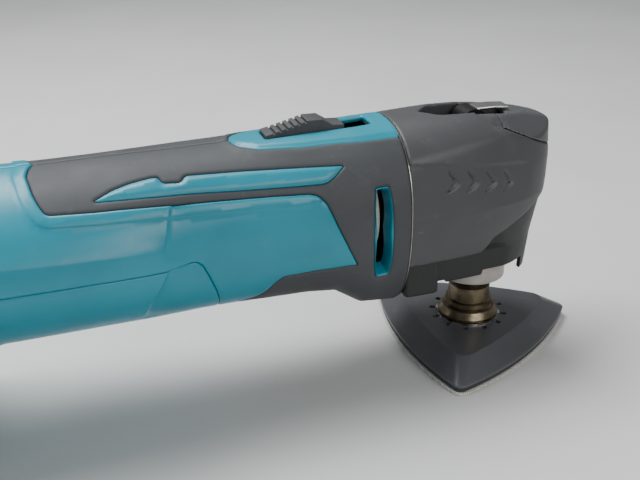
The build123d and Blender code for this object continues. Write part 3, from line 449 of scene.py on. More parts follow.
def to_line(points, line, closed=False):
    line = np.asarray(line, float)
    pairs = list(zip(line[:-1], line[1:])) + ([(line[-1], line[0])] if closed else [])
    return to_segments(points, pairs)


def sideways(ahead):
    """Unit directions to the left of the ones given."""
    across = np.stack([-ahead[:, 1], ahead[:, 0]], 1)
    return across / np.maximum(np.linalg.norm(across, axis=1), 1e-9)[:, None]


def within(points, loop):
    x, y = points.T
    result = np.zeros(len(points), bool)
    for (x0, y0), (x1, y1) in zip(loop, np.roll(loop, -1, 0)):
        crosses = (y0 > y) != (y1 > y)
        result ^= crosses & (x < (x1 - x0) * (y - y0) / (y1 - y0 + 1e-12) + x0)
    return result


def on_middle(girth):
    return (np.abs(girth) < 1e-6) | (np.abs(girth - HALF_GIRTH) < 1e-6)


def rounded(loop, radius, step):
    """The loop with its corners rounded, in pieces no longer than step."""
    loop = np.asarray(loop, float)
    out = []
    for i, p in enumerate(loop):
        before, after = loop[i - 1], loop[(i + 1) % len(loop)]
        back, ahead = np.linalg.norm(before - p), np.linalg.norm(after - p)
        r = min(radius, back * 0.45, ahead * 0.45)
        if on_middle(p[1]) or r < 0.05:
            out.append(p)
            continue
        first, last = p + (before - p) / back * r, p + (after - p) / ahead * r
        for t in (0.0, 0.25, 0.5, 0.75, 1.0):
            out.append(first * (1 - t) ** 2 + 2 * p * t * (1 - t) + last * t * t)
    dense = []
    for p, q in zip(out, out[1:] + out[:1]):
        pieces = max(1, int(math.ceil(np.linalg.norm(q - p) / step)))
        dense += [p + (q - p) * k / pieces for k in range(pieces)]
    return np.array(dense)


def make_piece(name, mesh_data, look, body, nodes=(), smooth_angle=None):
    """A piece from millimetre (points, faces), on its body, in place of CAD nodes."""
    points, faces = mesh_data
    co = np.array(points, float)
    co[:, 0] += SPINDLE_X
    mesh = bpy.data.meshes.new(name)
    mesh.from_pydata((co * MM).tolist(), [], [list(map(int, f)) for f in faces])
    mesh.validate()
    mesh.polygons.foreach_set("use_smooth", [True] * len(mesh.polygons))
    mesh.materials.append(looks[look])
    obj = bpy.data.objects.new(name, mesh)
    bpy.context.scene.collection.objects.link(obj)
    if smooth_angle is not None:
        mesh.set_sharp_from_angle(angle=math.radians(smooth_angle))
    mesh.update()
    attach(obj, body)
    if nodes:
        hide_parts(*nodes)
    return obj


def tube_faces(rows, count):
    """The faces of rows of count points each, closed both round and across."""
    faces = []
    for row in range(rows):
        near, far = row * count, (row + 1) % rows * count
        faces += [(near + k, near + (k + 1) % count, far + (k + 1) % count, far + k)
                  for k in range(count)]
    return faces


EDGE_ROWS = (0.22, 0.5, 0.95, 1.6)


def panel(loop, holes=(), relief=None, lines=(), spacing=2.0, depth=1.7, joined=False,
          bevel=0.9, corner=1.3, hole_corner=1.0):
    """One half of a skin panel as (points, triangles), on the left side.
    loop and holes are (along, girth); relief gives a height for (along, girth) points;
    lines are feature lines that the mesh follows. With joined, edges on the middle
    plane stay open for the other half."""
    loops = [rounded(loop, corner, 1.0)] + [rounded(h, hole_corner, 0.8) for h in holes]
    kept = [np.concatenate(loops)]

    borders = [(start, end) for ring in loops for start, end in zip(ring, np.roll(ring, -1, 0))
               if not (joined and on_middle(start[1]) and on_middle(end[1]))]

    def edge_distance(points):
        return to_segments(points, borders)

    def inner(points):
        ok = within(points, loops[0])
        for hole in loops[1:]:
            ok &= ~within(points, hole)
        return ok

    for ring in loops:
        across = sideways(np.roll(ring, -1, 0) - np.roll(ring, 1, 0))
        for row in EDGE_ROWS:
            for sign in (1, -1):
                shifted = ring + sign * row * across
                shifted = shifted[inner(shifted)]
                if len(shifted):
                    kept.append(shifted[edge_distance(shifted) > row * 0.93])
    feature_points = []
    for line, offsets in lines:
        line = np.asarray(line, float)
        run = np.concatenate([[0.0], np.cumsum(np.linalg.norm(np.diff(line, axis=0), axis=1))])
        at = np.arange(0.0, run[-1], 1.0)
        spots = np.stack([np.interp(at, run, line[:, i]) for i in (0, 1)], 1)
        across = sideways(np.gradient(spots, axis=0))
        feature_points += [spots + across * offset for offset in offsets]
    if feature_points:
        spots = np.concatenate(feature_points)
        spots = spots[inner(spots)]
        spots = spots[edge_distance(spots) > EDGE_ROWS[-1] * 1.25]
        cells = {}
        for p in spots:
            cells.setdefault((round(p[0] / 0.3), round(p[1] / 0.3)), p)
        spots = np.array(list(cells.values())).reshape(-1, 2)
    else:
        spots = np.zeros((0, 2))
    kept.append(spots)
    low, high = loops[0].min(0), loops[0].max(0)
    xs = np.arange(low[0], high[0], spacing)
    ys = np.arange(low[1], high[1], spacing * 0.92)
    grid = np.stack(np.meshgrid(xs, ys, indexing="ij"), -1)
    grid[:, ::2, 0] += spacing / 2
    grid = grid.reshape(-1, 2)
    grid = grid[inner(grid)]
    grid = grid[edge_distance(grid) > EDGE_ROWS[-1] + spacing * 0.45]
    if len(spots):
        cells = {(int(p[0] // spacing), int(p[1] // spacing)) for p in spots}
        near = [any((int(p[0] // spacing) + i, int(p[1] // spacing) + j) in cells
                    for i in (-1, 0, 1) for j in (-1, 0, 1)) for p in grid]
        close = np.array(near)
        far = np.ones(len(grid), bool)
        checked = grid[close]
        if len(checked):
            gaps = np.min(np.linalg.norm(checked[:, None] - spots[None], axis=2), axis=1)
            far[np.flatnonzero(close)[gaps < spacing * 0.55]] = False
        grid = grid[far]
    if joined:
        for middle in (0.0, HALF_GIRTH):
            if np.any(np.abs(loops[0][:, 1] - middle) < 1e-6):
                grid = grid[np.abs(grid[:, 1] - middle) > spacing * 0.4]
    kept.append(grid)
    flat = np.concatenate(kept)
    edges, start = [], 0
    for ring in loops:
        count = len(ring)
        edges += [(start + k, start + (k + 1) % count) for k in range(count)]
        start += count
    out = delaunay_2d_cdt([Vector(p) for p in flat], edges, [], 0, 1e-5)
    flat = np.array([tuple(v) for v in out[0]])
    triangles = np.array([f for f in out[2] if len(f) == 3])
    centres = flat[triangles].mean(1)
    triangles = triangles[inner(centres)]
    a, b, c = (flat[triangles[:, i]] for i in range(3))
    area = np.abs((b[:, 0] - a[:, 0]) * (c[:, 1] - a[:, 1])
                  - (b[:, 1] - a[:, 1]) * (c[:, 0] - a[:, 0]))
    triangles = triangles[area > 1e-6]
    used = np.unique(triangles)
    renumber = np.full(len(flat), -1)
    renumber[used] = np.arange(len(used))
    flat, triangles = flat[used], renumber[triangles]
    flat[np.abs(flat[:, 1]) < 1e-5, 1] = 0.0
    flat[np.abs(flat[:, 1] - HALF_GIRTH) < 1e-5, 1] = HALF_GIRTH
    surface, normal = on_body(flat), outward(flat)
    inset = edge_distance(flat)
    height = -bevel * (1.0 - np.sqrt(np.clip(1.0 - (1.0 - np.clip(inset / 1.15, 0, 1)) ** 2, 0, 1)))
    if relief is not None:
        height = height + relief(flat)
    top = surface + normal * height[:, None]
    under = surface - normal * depth
    corners = top[triangles]
    facing = np.einsum("ij,ij->i", np.cross(corners[:, 1] - corners[:, 0],
                                            corners[:, 2] - corners[:, 0]),
                       normal[triangles[:, 0]])
    flipped = facing < 0
    triangles[flipped] = triangles[flipped][:, ::-1]
    count = len(flat)
    seen = {}
    for tri in triangles:
        for k in range(3):
            pair = (int(tri[k]), int(tri[(k + 1) % 3]))
            seen[pair] = seen.get(pair, 0) + 1
    faces = [tuple(t) for t in triangles]
    faces += [(t[2] + count, t[1] + count, t[0] + count) for t in triangles]
    for i, j in seen:
        if (j, i) in seen:
            continue
        if joined and on_middle(flat[i, 1]) and on_middle(flat[j, 1]):
            continue
        faces.append((j, i, i + count, j + count))
    return np.concatenate([top, under]), faces


def mirrored(points, faces):
    """The same half on the right side."""
    return points * np.array([1.0, -1.0, 1.0]), [tuple(reversed(f)) for f in faces]


def welded(parts):
    """Several (points, faces) as one, points that meet on the middle plane merged."""
    points, faces, start = [], [], 0
    for p, f in parts:
        points.append(p)
        faces += [tuple(i + start for i in face) for face in f]
        start += len(p)
    points = np.concatenate(points)
    keys, first, target = {}, [], np.zeros(len(points), int)
    for i, p in enumerate(points):
        key = tuple(np.round(p, 3)) if abs(p[1]) < 1e-3 else i
        if key not in keys:
            keys[key] = len(first)
            first.append(i)
        target[i] = keys[key]
    merged = []
    for face in faces:
        f = [int(target[i]) for i in face]
        if len(set(f)) == len(f):
            merged.append(tuple(f))
    return points[first], merged


# ------------------------------------------------------------ outlines of the skin
grip_rear = [(-184.4, 0.0)] + top_line([(-186.2, 4.0), (-187.2, 8.5), (-185.6, 17.8),
                                        (-184.2, 21.7), (-182.6, 24.5)])
grip_low = side_line([(-181.0, 100.8), (-156.7, 99.6), (-128.0, 98.1), (-101.5, 96.8),
                      (-86.0, 95.9), (-83.0, 95.0), (-79.9, 92.2), (-75.4, 81.0),
                      (-71.3, 71.6), (-67.4, 63.3), (-72.8, 63.3), (-83.0, 63.0),
                      (-91.2, 62.7), (-97.7, 62.5), (-101.1, 59.5), (-104.3, 55.1),
                      (-107.2, 52.8), (-113.9, 49.7)])
ridge_line = grip_rear + grip_low[:5]  # where the skin's edge stands in a ridge
grip_border = grip_rear + grip_low + [(-118.0, HALF_GIRTH)]
plate_edge = [(-110.7, 0.0)] + top_line([(-109.8, 4.4), (-107.8, 7.6), (-101.5, 11.3),
                                         (-85.4, 13.7), (-65.3, 15.1), (SEAM, 16.0)])
grip_loop = (grip_border + [(SEAM, HALF_GIRTH)] + plate_edge[::-1])
stripe_loop = side_line([(-165.1, 102.9), (-158.3, 105.0), (-151.5, 106.2), (-144.0, 106.9),
                         (-141.4, 106.9), (-139.9, 105.2), (-133.5, 104.9), (-131.4, 106.5),
                         (-110.8, 105.9), (-87.9, 104.9), (-70.5, 104.0), (-74.8, 101.1),
                         (-78.0, 99.3), (-80.8, 98.9), (-89.4, 99.1), (-112.5, 100.2),
                         (-141.9, 101.7), (-164.5, 102.5)])
slit_rear = [(-59.6, 95.3), (-60.5, 88.0), (-60.7, 75.0), (-60.2, 62.0), (-59.0, 55.8)]
slit_front = [(-53.5, 55.8), (-52.6, 62.0), (-52.5, 75.0), (-53.0, 88.0), (-54.0, 95.3)]
slit_loop = side_line(slit_rear + slit_front)
cover_seam = side_line([(-207.5, 77.6), (-200.6, 77.3), (-184.7, 76.9), (-167.6, 76.4),
                        (-149.7, 75.2), (-143.3, 75.0), (-138.3, 75.7), (-134.5, 76.7),
                        (-131.8, 76.7), (-129.6, 74.8), (-127.2, 68.8), (-124.6, 61.4),
                        (-123.0, 55.0)])
cover_loop = cover_seam + [(-122.4, HALF_GIRTH), (-207.5, HALF_GIRTH)]

MOUNT = -248.0  # the wall behind the battery's rails
WAY_UP = girth_across(MOUNT - 4.0, 33.8)  # the rim is open above the rails
housing_loop = ([(MOUNT + 0.4, 0.0)] + grip_border
                + [(-122.4, HALF_GIRTH)] + cover_seam[::-1]
                + [(-207.5, HALF_GIRTH), (REAR, HALF_GIRTH), (REAR, WAY_UP),
                   (MOUNT + 0.4, WAY_UP)])

crease_steps = [(side_line([(-138.9, 98.8), (-140.2, 95.9), (-142.0, 89.5), (-144.0, 83.3)])),
                (side_line([(-143.0, 74.9), (-146.4, 67.9), (-150.5, 60.8), (-153.1, 51.2)]))]
rear_crease = side_line([(-206.0, 88.2), (-198.8, 87.6), (-183.2, 86.6), (-166.3, 85.7),
                         (-148.7, 84.0), (-144.0, 83.3)])


def step_down(flat, line, depth, width=1.1, fade=16.0, margin=6.0):
    """A step down just ahead of a line that runs round the body, fading out forward."""
    line = np.asarray(line)
    order = np.argsort(line[:, 1])
    ahead = flat[:, 0] - np.interp(flat[:, 1], line[order, 1], line[order, 0])
    low, high = line[:, 1].min(), line[:, 1].max()
    ends = (smooth((flat[:, 1] - low + margin) / margin)
            * smooth((high + margin - flat[:, 1]) / margin))
    return -depth * smooth(ahead / width) * (1 - smooth((ahead - width) / fade)) * ends


def housing_relief(flat):
    border = to_line(flat, ridge_line)
    ridge = 0.5 * (1 - smooth((border - 4.3) / 0.7))
    ridge *= smooth((-76.0 - flat[:, 0]) / 6.0)
    total = ridge + step_down(flat, crease_steps[0], 0.8)
    line = np.asarray(rear_crease)
    level = np.interp(flat[:, 0], line[:, 0], line[:, 1])
    over = flat[:, 1] - level
    inside = smooth((-143.0 - flat[:, 0]) / 3.0) * smooth((flat[:, 0] + 212.0) / 10.0)
    return total + inside * 0.55 * (1 - smooth((np.abs(over) - 0.2) / 5.0))


def cover_relief(flat):
    return step_down(flat, crease_steps[1], 0.8)


def grip_relief(flat):
    near_plate = to_line(flat, plate_edge)
    rise = 0.35 * (1 - smooth((near_plate - 2.2) / 1.4))
    near_slit = to_line(flat, slit_loop, closed=True)
    return rise - 0.45 * (1 - smooth(near_slit / 2.6))


def stripe_relief(flat):
    edge = to_line(flat, stripe_loop, closed=True)
    return 0.4 * smooth((edge - 0.9) / 0.6)


def plate_relief(flat):
    edge = to_line(flat, plate_edge)
    return 0.4 * smooth((edge - 1.5) / 0.8)


def screw_hole(along, height, radius=4.1):
    """A round hole over a shell screw, as (along, girth)."""
    turn = np.linspace(0, 2 * math.pi, 24, endpoint=False)
    return side_line([(along + radius * math.cos(t), height + radius * math.sin(t)) for t in turn])


def left_and_right(name, node_names, look, loop, holes=(), left_holes=(), **options):
    """The same panel on both sides of the tool body, in place of two CAD nodes."""
    for side, node in zip(("left", "right"), node_names):
        data = panel(loop, list(holes) + (list(left_holes) if side == "left" else []), **options)
        if side == "right":
            data = mirrored(*data)
        make_piece(f"{name}_{side}", data, look, "tool_body", [node] if node else ())


ridge_rows = [(ridge_line, (-4.3, -4.65, -5.0, 4.3, 4.65, 5.0))]
step_rows = [(line, (-0.1, -0.5, -1.1, 0.1, 0.5, 1.1)) for line in crease_steps]
crease_rows = [(rear_crease, (-0.3, 0.0, 0.3))]
left_and_right("shell", ("housing_left", "housing_right"), "teal", housing_loop,
               left_holes=[screw_hole(-237.0, 20.0), screw_hole(-236.0, 98.0)],
               relief=housing_relief, lines=ridge_rows + step_rows[:1] + crease_rows)
left_and_right("grip_skin", ("grip_left", "grip_right"), "soft_grip", grip_loop,
               holes=[stripe_loop, slit_loop], left_holes=[screw_hole(-60.0, 45.5)],
               relief=grip_relief, spacing=1.8)
left_and_right("stripe", (None, None), "teal", stripe_loop,
               relief=stripe_relief, spacing=1.4, bevel=0.7,
               lines=[(stripe_loop, (-0.9, -1.2, -1.5, 0.9, 1.2, 1.5))])

halves = panel(cover_loop, relief=cover_relief, lines=step_rows[1:], joined=True)
make_piece("lower_cover", welded([halves, mirrored(*halves)]), "teal", "tool_body",
           ["brush_cover"])

SLOT_REAR, SLOT_FRONT, SLOT_HALF_WIDTH = -97.0, -52.5, 5.2
plate_loop = (plate_edge + [(SEAM, 0.0), (SLOT_FRONT, 0.0)]
              + top_line([(SLOT_FRONT, SLOT_HALF_WIDTH), (SLOT_REAR, SLOT_HALF_WIDTH)])
              + [(SLOT_REAR, 0.0)])
halves = panel(plate_loop, relief=plate_relief, joined=True, spacing=1.5, bevel=0.6,
               lines=[(plate_edge, (1.5, 1.9, 2.3, -1.5, -1.9, -2.3))])
make_piece("switch_surround", welded([halves, mirrored(*halves)]), "teal", "tool_body",
           ["switch_plate"])

# The hard shell under the skins, seen only down the seams and in the air slits.
core_alongs = np.concatenate([np.arange(REAR + 0.6, SEAM - 0.3, 1.5), [SEAM - 0.3]])
core_girths = np.linspace(0.0, HALF_GIRTH, 91)
CORE_DEPTH, CORE_HALF_CELL = 1.9, (0.75, 0.5)
SLIT_ROOM = (-61.5, -52.0, 55.0, 96.5)  # rear, front, low and high ends of the air slit
rows, columns = len(core_alongs), len(core_girths)


def core_is_open(along, girth):
    """Whether the hard shell has a hole here: an air slit, the switch's slot or the rails' top."""
    level = half_section(along)[int(round(girth / HALF_GIRTH * (len(GIRTHS) - 1))), 1]
    return ((SLIT_ROOM[0] < along < SLIT_ROOM[1] and SLIT_ROOM[2] < level < SLIT_ROOM[3])
            or (SLOT_REAR < along < SLOT_FRONT and girth < 5.4)
            or (along < MOUNT + 0.4 and girth < WAY_UP + 0.6))


core_points, core_faces = [], []
for side in (1, -1):
    start = len(core_points)
    flat = np.stack(np.meshgrid(core_alongs, core_girths, indexing="ij"), -1).reshape(-1, 2)
    co = on_body(flat) - outward(flat) * CORE_DEPTH
    co[:, 1] *= side
    core_points += co.tolist()
    for i in range(rows - 1):
        for j in range(columns - 1):
            if core_is_open(*(flat[i * columns + j] + CORE_HALF_CELL)):
                continue
            near, far = start + i * columns + j, start + (i + 1) * columns + j
            core_faces.append([near, near + 1, far + 1, far][::side])
wall_row = int(np.abs(core_alongs - MOUNT).argmin())
for end, order in ((wall_row, -1), (rows - 1, 1)):
    left, right = end * columns, (rows + end) * columns
    core_faces += [[left + j, right + j, right + j + 1, left + j + 1][::order]
                   for j in range(columns - 1)]
make_piece("hard_shell", welded([(np.array(core_points), core_faces)]), "black_plastic",
           "tool_body", smooth_angle=40)

# The battery's rails and the stop below them, on the rear wall.
RAIL_ALONG, RAIL_HEIGHTS, STOP_TOP = (-256.0, MOUNT + 0.6), (17.0, 104.0), 21.6
WEB_ACROSS, LIP_ACROSS, LIP_THICKNESS = (30.0, 33.0), 20.0, 2.8
rail_rear, rail_front = RAIL_ALONG
for name, side in (("rail_left", 1), ("rail_right", -1), ("rail_stop", 0)):
    if side:
        outline = [(rail_rear, LIP_ACROSS), (rail_rear, WEB_ACROSS[1]), (rail_front, WEB_ACROSS[1]),
                   (rail_front, WEB_ACROSS[0]), (rail_rear + LIP_THICKNESS, WEB_ACROSS[0]),
                   (rail_rear + LIP_THICKNESS, LIP_ACROSS)]
        outline = [(x, side * y) for x, y in outline][::side]
        ends = (STOP_TOP, RAIL_HEIGHTS[1])
    else:
        outline = [(rail_rear, WEB_ACROSS[1]), (rail_front, WEB_ACROSS[1]),
                   (rail_front, -WEB_ACROSS[1]), (rail_rear, -WEB_ACROSS[1])]
        ends = (RAIL_HEIGHTS[0], STOP_TOP)
    count = len(outline)
    points = [(x, y, z) for z in ends for x, y in outline]
    faces = [tuple(range(count)), tuple(range(count, 2 * count))[::-1]]
    faces += [(k, k + count, (k + 1) % count + count, (k + 1) % count) for k in range(count)]
    rail = make_piece(f"battery_{name}", (points, faces), "black_plastic", "tool_body",
                      smooth_angle=30.0)
    rounding = rail.modifiers.new("edges", "BEVEL")
    rounding.width, rounding.segments = 0.4 * MM, 2

# The teal lining of the air slits: a wall round the front and foot, open behind.
# Each row is how far in from the slit's edge and how far under the skin it lies.
LINING_ROWS = ((0.0, 1.3), (0.05, 0.35), (0.5, 0.1), (1.0, 0.35), (1.25, 1.3), (1.3, 7.5),
               (0.2, 7.5))


def inward(ring, centre):
    pull = centre - ring
    return pull / np.linalg.norm(pull, axis=1)[:, None]


ring = rounded(slit_loop, 1.2, 1.2)
pull = inward(ring, ring.mean(0)) * [1.0, 0.6]
rows = []
for inset, down in LINING_ROWS:
    spot = ring + pull * (inset - 0.15)
    rows.append(on_body(spot) - outward(spot) * (down + 0.25))
lining = np.concatenate(rows), tube_faces(len(rows), len(ring))
for side, data in (("left", lining), ("right", mirrored(*lining))):
    make_piece(f"slit_lining_{side}", data, "teal", "tool_body", smooth_angle=50)

# The thin metal edge that shows where the grip meets the head, as rows of (along, inset).
STRIP_ROWS = ((SEAM + 0.08, 0.9), (SEAM + 0.12, 0.42), (SEAM + 0.38, 0.42),
              (SEAM + 0.42, 0.9), (SEAM + 0.42, 2.2), (SEAM + 0.08, 2.2))
STRIP_CENTRE = np.array([0.0, 76.0])
line = half_section(SEAM)[::3]
ring = np.concatenate([line, (line * [-1, 1])[-2:0:-1]])
pull = inward(ring, STRIP_CENTRE)
rows = [np.column_stack([np.full(len(ring), along), ring + pull * inset])
        for along, inset in STRIP_ROWS]
make_piece("seam_strip", (np.concatenate(rows), tube_faces(len(rows), len(ring))), "zinc_steel",
           "tool_body", smooth_angle=40)


# --------------------------------------------------------- head cover and lever
def soft_max(a, b, k):
    """The larger of two fields, the edge between them rounded over about k."""
    h = np.maximum(k - np.abs(a - b), 0.0) / k
    return np.maximum(a, b) + h * h * k * 0.25


def soft_min(a, b, k):
    return -soft_max(-a, -b, k)


def surface_of(field, low, high, cell):
    """The closed surface where a field of (along, across, height) points is zero."""
    axes = [np.arange(lo, hi + cell, cell) for lo, hi in zip(low, high)]
    grid = np.stack(np.meshgrid(*axes, indexing="ij"), -1)
    shape = grid.shape[:3]
    value = field(grid.reshape(-1, 3)).reshape(shape)
    value[value == 0] = 1e-6
    negative = value < 0
    cells = tuple(n - 1 for n in shape)
    total, count = np.zeros(cells + (3,)), np.zeros(cells)
    crossings = []
    for axis in range(3):
        near, far = [slice(None)] * 3, [slice(None)] * 3
        near[axis], far[axis] = slice(0, -1), slice(1, None)
        f0, f1 = value[tuple(near)], value[tuple(far)]
        cross = negative[tuple(near)] != negative[tuple(far)]
        with np.errstate(divide="ignore", invalid="ignore"):
            share = np.where(cross, f0 / (f0 - f1), 0.0)
        crossings.append((cross, f0))
        one, two = [a for a in range(3) if a != axis]
        for i in (0, 1):
            for j in (0, 1):
                part = [slice(None)] * 3
                part[one] = slice(i, i + cells[one])
                part[two] = slice(j, j + cells[two])
                c, t = cross[tuple(part)], share[tuple(part)]
                total[..., axis] += t
                total[..., one] += c * i
                total[..., two] += c * j
                count += c
    active = count > 0
    number = np.full(cells, -1)
    number[active] = np.arange(active.sum())
    corner = np.stack(np.nonzero(active), 1)
    points = np.array(low) + (corner + total[active] / count[active][:, None]) * cell
    faces = []
    for axis, (cross, f0) in enumerate(crossings):
        one, two = [(1, 2), (2, 0), (0, 1)][axis]
        at = np.stack(np.nonzero(cross), 1)
        for way in (one, two):
            at = at[(at[:, way] > 0) & (at[:, way] < cells[way])]
        rising = f0[tuple(at.T)] < 0
        corners = []
        for i, j in ((1, 1), (0, 1), (0, 0), (1, 0)):
            spot = at.copy()
            spot[:, one] -= i
            spot[:, two] -= j
            corners.append(number[tuple(spot.T)])
        quads = np.stack(corners, 1)
        quads[~rising] = quads[~rising][:, ::-1]
        faces.append(quads)
    faces = np.concatenate(faces)
    faces = faces[(faces >= 0).all(1)]
    step = 0.05
    for _ in range(3):
        f = field(points)
        slope = np.stack([(field(points + way) - field(points - way)) / (2 * step)
                          for way in np.eye(3) * step], 1)
        size = np.maximum((slope ** 2).sum(1), 0.05)
        move = -slope * (f / size)[:, None]
        length = np.linalg.norm(move, axis=1)
        points = points + move * np.minimum(1.0, 0.35 * cell / np.maximum(length, 1e-9))[:, None]
    return points, faces


def ratio_distance(ratios, scales, power):
    """How far outside a superellipse of ratios, as a length."""
    ratios = [np.maximum(r, 1e-4) for r in ratios]
    r = sum(q ** power for q in ratios) ** (1.0 / power)
    slope = np.sqrt(sum((q ** (power - 1) * r ** (1 - power) / c) ** 2
                        for q, c in zip(ratios, scales)))
    return (r - 1.0) / np.maximum(slope, 1e-4)


HEAD_START = SEAM + 0.5
WIDEST = 78.0


def head_body(p):
    """The head's outer form."""
    s, y, z = p.T
    y = np.abs(y)
    nose = np.interp(z, [40, 57, 66, 74, 83, 92, 98, 104, 112],
                     [24.5, 26.0, 27.5, 29.0, 30.4, 31.2, 31.0, 30.9, 30.4])
    side = np.interp(z, [40, 57, 68, 78], [28.0, 28.9, 30.3, 31.0])
    slope = 0.17 + 0.09 * np.clip((s + 47.0) / 55.0, 0, 1.4)
    side = side - slope * np.maximum(z - WIDEST, 0.0)
    length = nose - HEAD_START
    plan = ratio_distance([np.maximum(s - HEAD_START, 0) / length, y / side], [length, side], 2.55)
    top = np.interp(s, [-46, -32, -20, -8, 0, 10, 18, 26, 34],
                    [113.7, 114.4, 114.8, 114.4, 113.7, 112.4, 110.8, 108.6, 105.6])
    crown = ratio_distance([y / 33.2, np.maximum(z - WIDEST, 0) / (top - WIDEST)],
                           [33.2, top - WIDEST], 2.3)
    return soft_max(plan, crown, 1.6)


SEAM_FROM, SEAM_TO = np.array([-7.4, 112.2]), np.array([29.0, 96.2])


def above_lever_seam(s, z):
    d = (SEAM_TO - SEAM_FROM) / np.linalg.norm(SEAM_TO - SEAM_FROM)
    return -(s - SEAM_FROM[0]) * d[1] + (z - SEAM_FROM[1]) * d[0]


CHEVRONS = [(-23.3, 92.0), (-14.3, 90.7), (-5.4, 89.3), (3.4, 87.8)]  # their tips
STROKE_DEPTH, FOOT_DEPTH = 0.85, 1.0


def engraving(p):
    """How deep the arrow marks are pressed into the sides."""
    s, y, z = p.T
    depth = np.zeros(len(p))
    close = (np.abs(y) > 12) & (z > 80) & (z < 102) & (s > -34) & (s < 8)
    side_view = p[close][:, [0, 2]]
    best = np.zeros(len(side_view))
    for tip_s, tip_z in CHEVRONS:
        upper = to_line(side_view, [(tip_s, tip_z), (tip_s - 3.4, tip_z + 4.3)])
        lower = to_line(side_view, [(tip_s - 0.4, tip_z - 0.5), (tip_s - 4.6, tip_z - 3.6)])
        taper = np.clip((side_view[:, 0] - tip_s + 5.8) / 5.0, 0.3, 1.0)
        best = np.maximum(best, STROKE_DEPTH * np.clip(1.0 - upper / (taper + 0.3), 0, 1))
        best = np.maximum(best, FOOT_DEPTH * np.clip(1.0 - lower / (1.9 * taper), 0, 1))
    depth[close] = best
    return depth


def flank(p):
    """The sides lie a little deeper below a line that falls towards the nose."""
    s, y, z = p.T
    line = np.interp(s, [-47.0, 8.0, 30.0], [102.6, 95.0, 91.5])
    drop = smooth((line - z) / 1.3) * smooth((z - 66.0) / 16.0)
    return 0.8 * drop * smooth((np.abs(y) - 10.0) / 8.0) * smooth((16.0 - s) / 14.0)


CHEEK = [(-46.0, 57.4), (-10.5, 57.6), (-8.0, 59.4), (-4.6, 63.6), (5.3, 67.9), (13.9, 71.3),
         (20.6, 74.7), (40.0, 80.0)]  # the cover's lower edge, as (along, height)
HOOD_START = 2.2  # the lever is forward of here, the cover behind it
WEDGE_START = -7.4  # the cover takes the hood's form forward of here
RECESS_TIP, RECESS_HALF_WIDTH, RECESS_FLOOR = -29.5, 7.4, 98.4
NOTCH_END = 8.0
COVER_WALL, SKIRT_WALL, CASE_WALL = 2.4, 2.1, 2.6


def cheek_height(s):
    return np.interp(s, *np.array(CHEEK).T)


def recess(p):
    s, y, z = p.T
    point = (RECESS_TIP - s + np.abs(y) * 0.9) * 0.743
    walls = soft_max(np.abs(y) - RECESS_HALF_WIDTH, point, 3.0)
    return soft_max(soft_max(walls, s - NOTCH_END, 0.5), RECESS_FLOOR - z, 1.5)


HOOD_TOP, HOOD_FALL = 112.4, 0.085  # its height over the spindle and its slope forward
CREASE_WIDTH, CREASE_TAPER = 13.0, 0.31  # half width of the flat top, and how fast it narrows


def hood_body(p):
    """The lever hood's outer form: a flat top and two leaning sides cut from the head."""
    s, y, z = p.T
    top = z - HOOD_TOP + HOOD_FALL * s
    crease = CREASE_WIDTH - CREASE_TAPER * (s + 4.0)
    side = (np.abs(y) - crease) * 0.62 + top * 0.78
    return soft_max(soft_max(head_body(p), top, 0.7), side, 0.7)


def cover_outside(p):
    s, _, z = p.T
    seam = above_lever_seam(s, z)
    form = head_body(p) + engraving(p) + flank(p)
    below = soft_max(form, seam, 0.5)
    above = soft_max(soft_max(hood_body(p), -seam, 0.1), s - HOOD_START + 0.1, 0.12)
    form = np.where(s < WEDGE_START, form, np.minimum(below, above))
    form = soft_max(form, -recess(p), 0.9)
    low = cheek_height(s)
    form = soft_max(form, (low - z) * 0.93, 0.9)
    return soft_max(form, HEAD_START - s, 0.8)


def cover_field(p):
    s, _, z = p.T
    outside = cover_outside(p)
    inside = soft_max(head_body(p) + COVER_WALL, recess_floor(p), 0.8)
    inside = np.maximum(inside, above_lever_seam(s, z) + 2.6)
    return np.maximum(outside, -inside)


def recess_floor(p):
    """The room under the recess: keeps a wall of its own round it."""
    return -(recess(p) - 2.2)


def swung(p, degrees):
    """Where points of the lever are once it has been raised."""
    turn = math.radians(degrees)
    s, z = p[:, 0] - PIVOT[0], p[:, 2] - PIVOT[1]
    return np.stack([PIVOT[0] + s * math.cos(turn) - z * math.sin(turn), p[:, 1],
                     PIVOT[1] + s * math.sin(turn) + z * math.cos(turn)], 1)


LEVER_SWING = (12.0, 30.0, 55.0, 80.0, 97.0)  # degrees at which the lever clears the cover


def lever_field(p):
    s, y, z = p.T
    y = np.abs(y)
    hood = soft_max(hood_body(p), 0.3 - above_lever_seam(s, z), 0.6)
    hood = soft_max(hood, HOOD_START + 0.1 - s, 0.12)
    notch = soft_max(y - RECESS_HALF_WIDTH - 0.3, s - NOTCH_END, 3.0)
    hood = soft_max(hood, -notch, 0.8)
    arm = soft_max(soft_max(y - 4.9, np.abs(z - 108.0) - 1.5, 0.8),
                   soft_max(PIVOT[0] + 0.5 - s, s - 14.0, 0.3), 0.6)
    whole = soft_min(hood, arm, 1.0)
    for degrees in LEVER_SWING:
        whole = np.maximum(whole, 0.35 - cover_outside(swung(p, degrees)))
    return whole


shape = surface_of(cover_field, (HEAD_START - 1.5, -32.5, 55.5), (32.5, 32.5, 117.5), 0.65)
make_piece("head_shell", shape, "head_plastic", "tool_body", ["head_cover"], 38.0)


STRAP = [(-9.6, 107.6), (-8.6, 110.4), (-6.4, 112.4), (-2.5, 113.4), (4.0, 113.5), (10.5, 112.9)]
STRAP_HALF_THICKNESS, STRAP_HALF_WIDTH, STRAP_JOG = 0.75, 3.6, 0.4


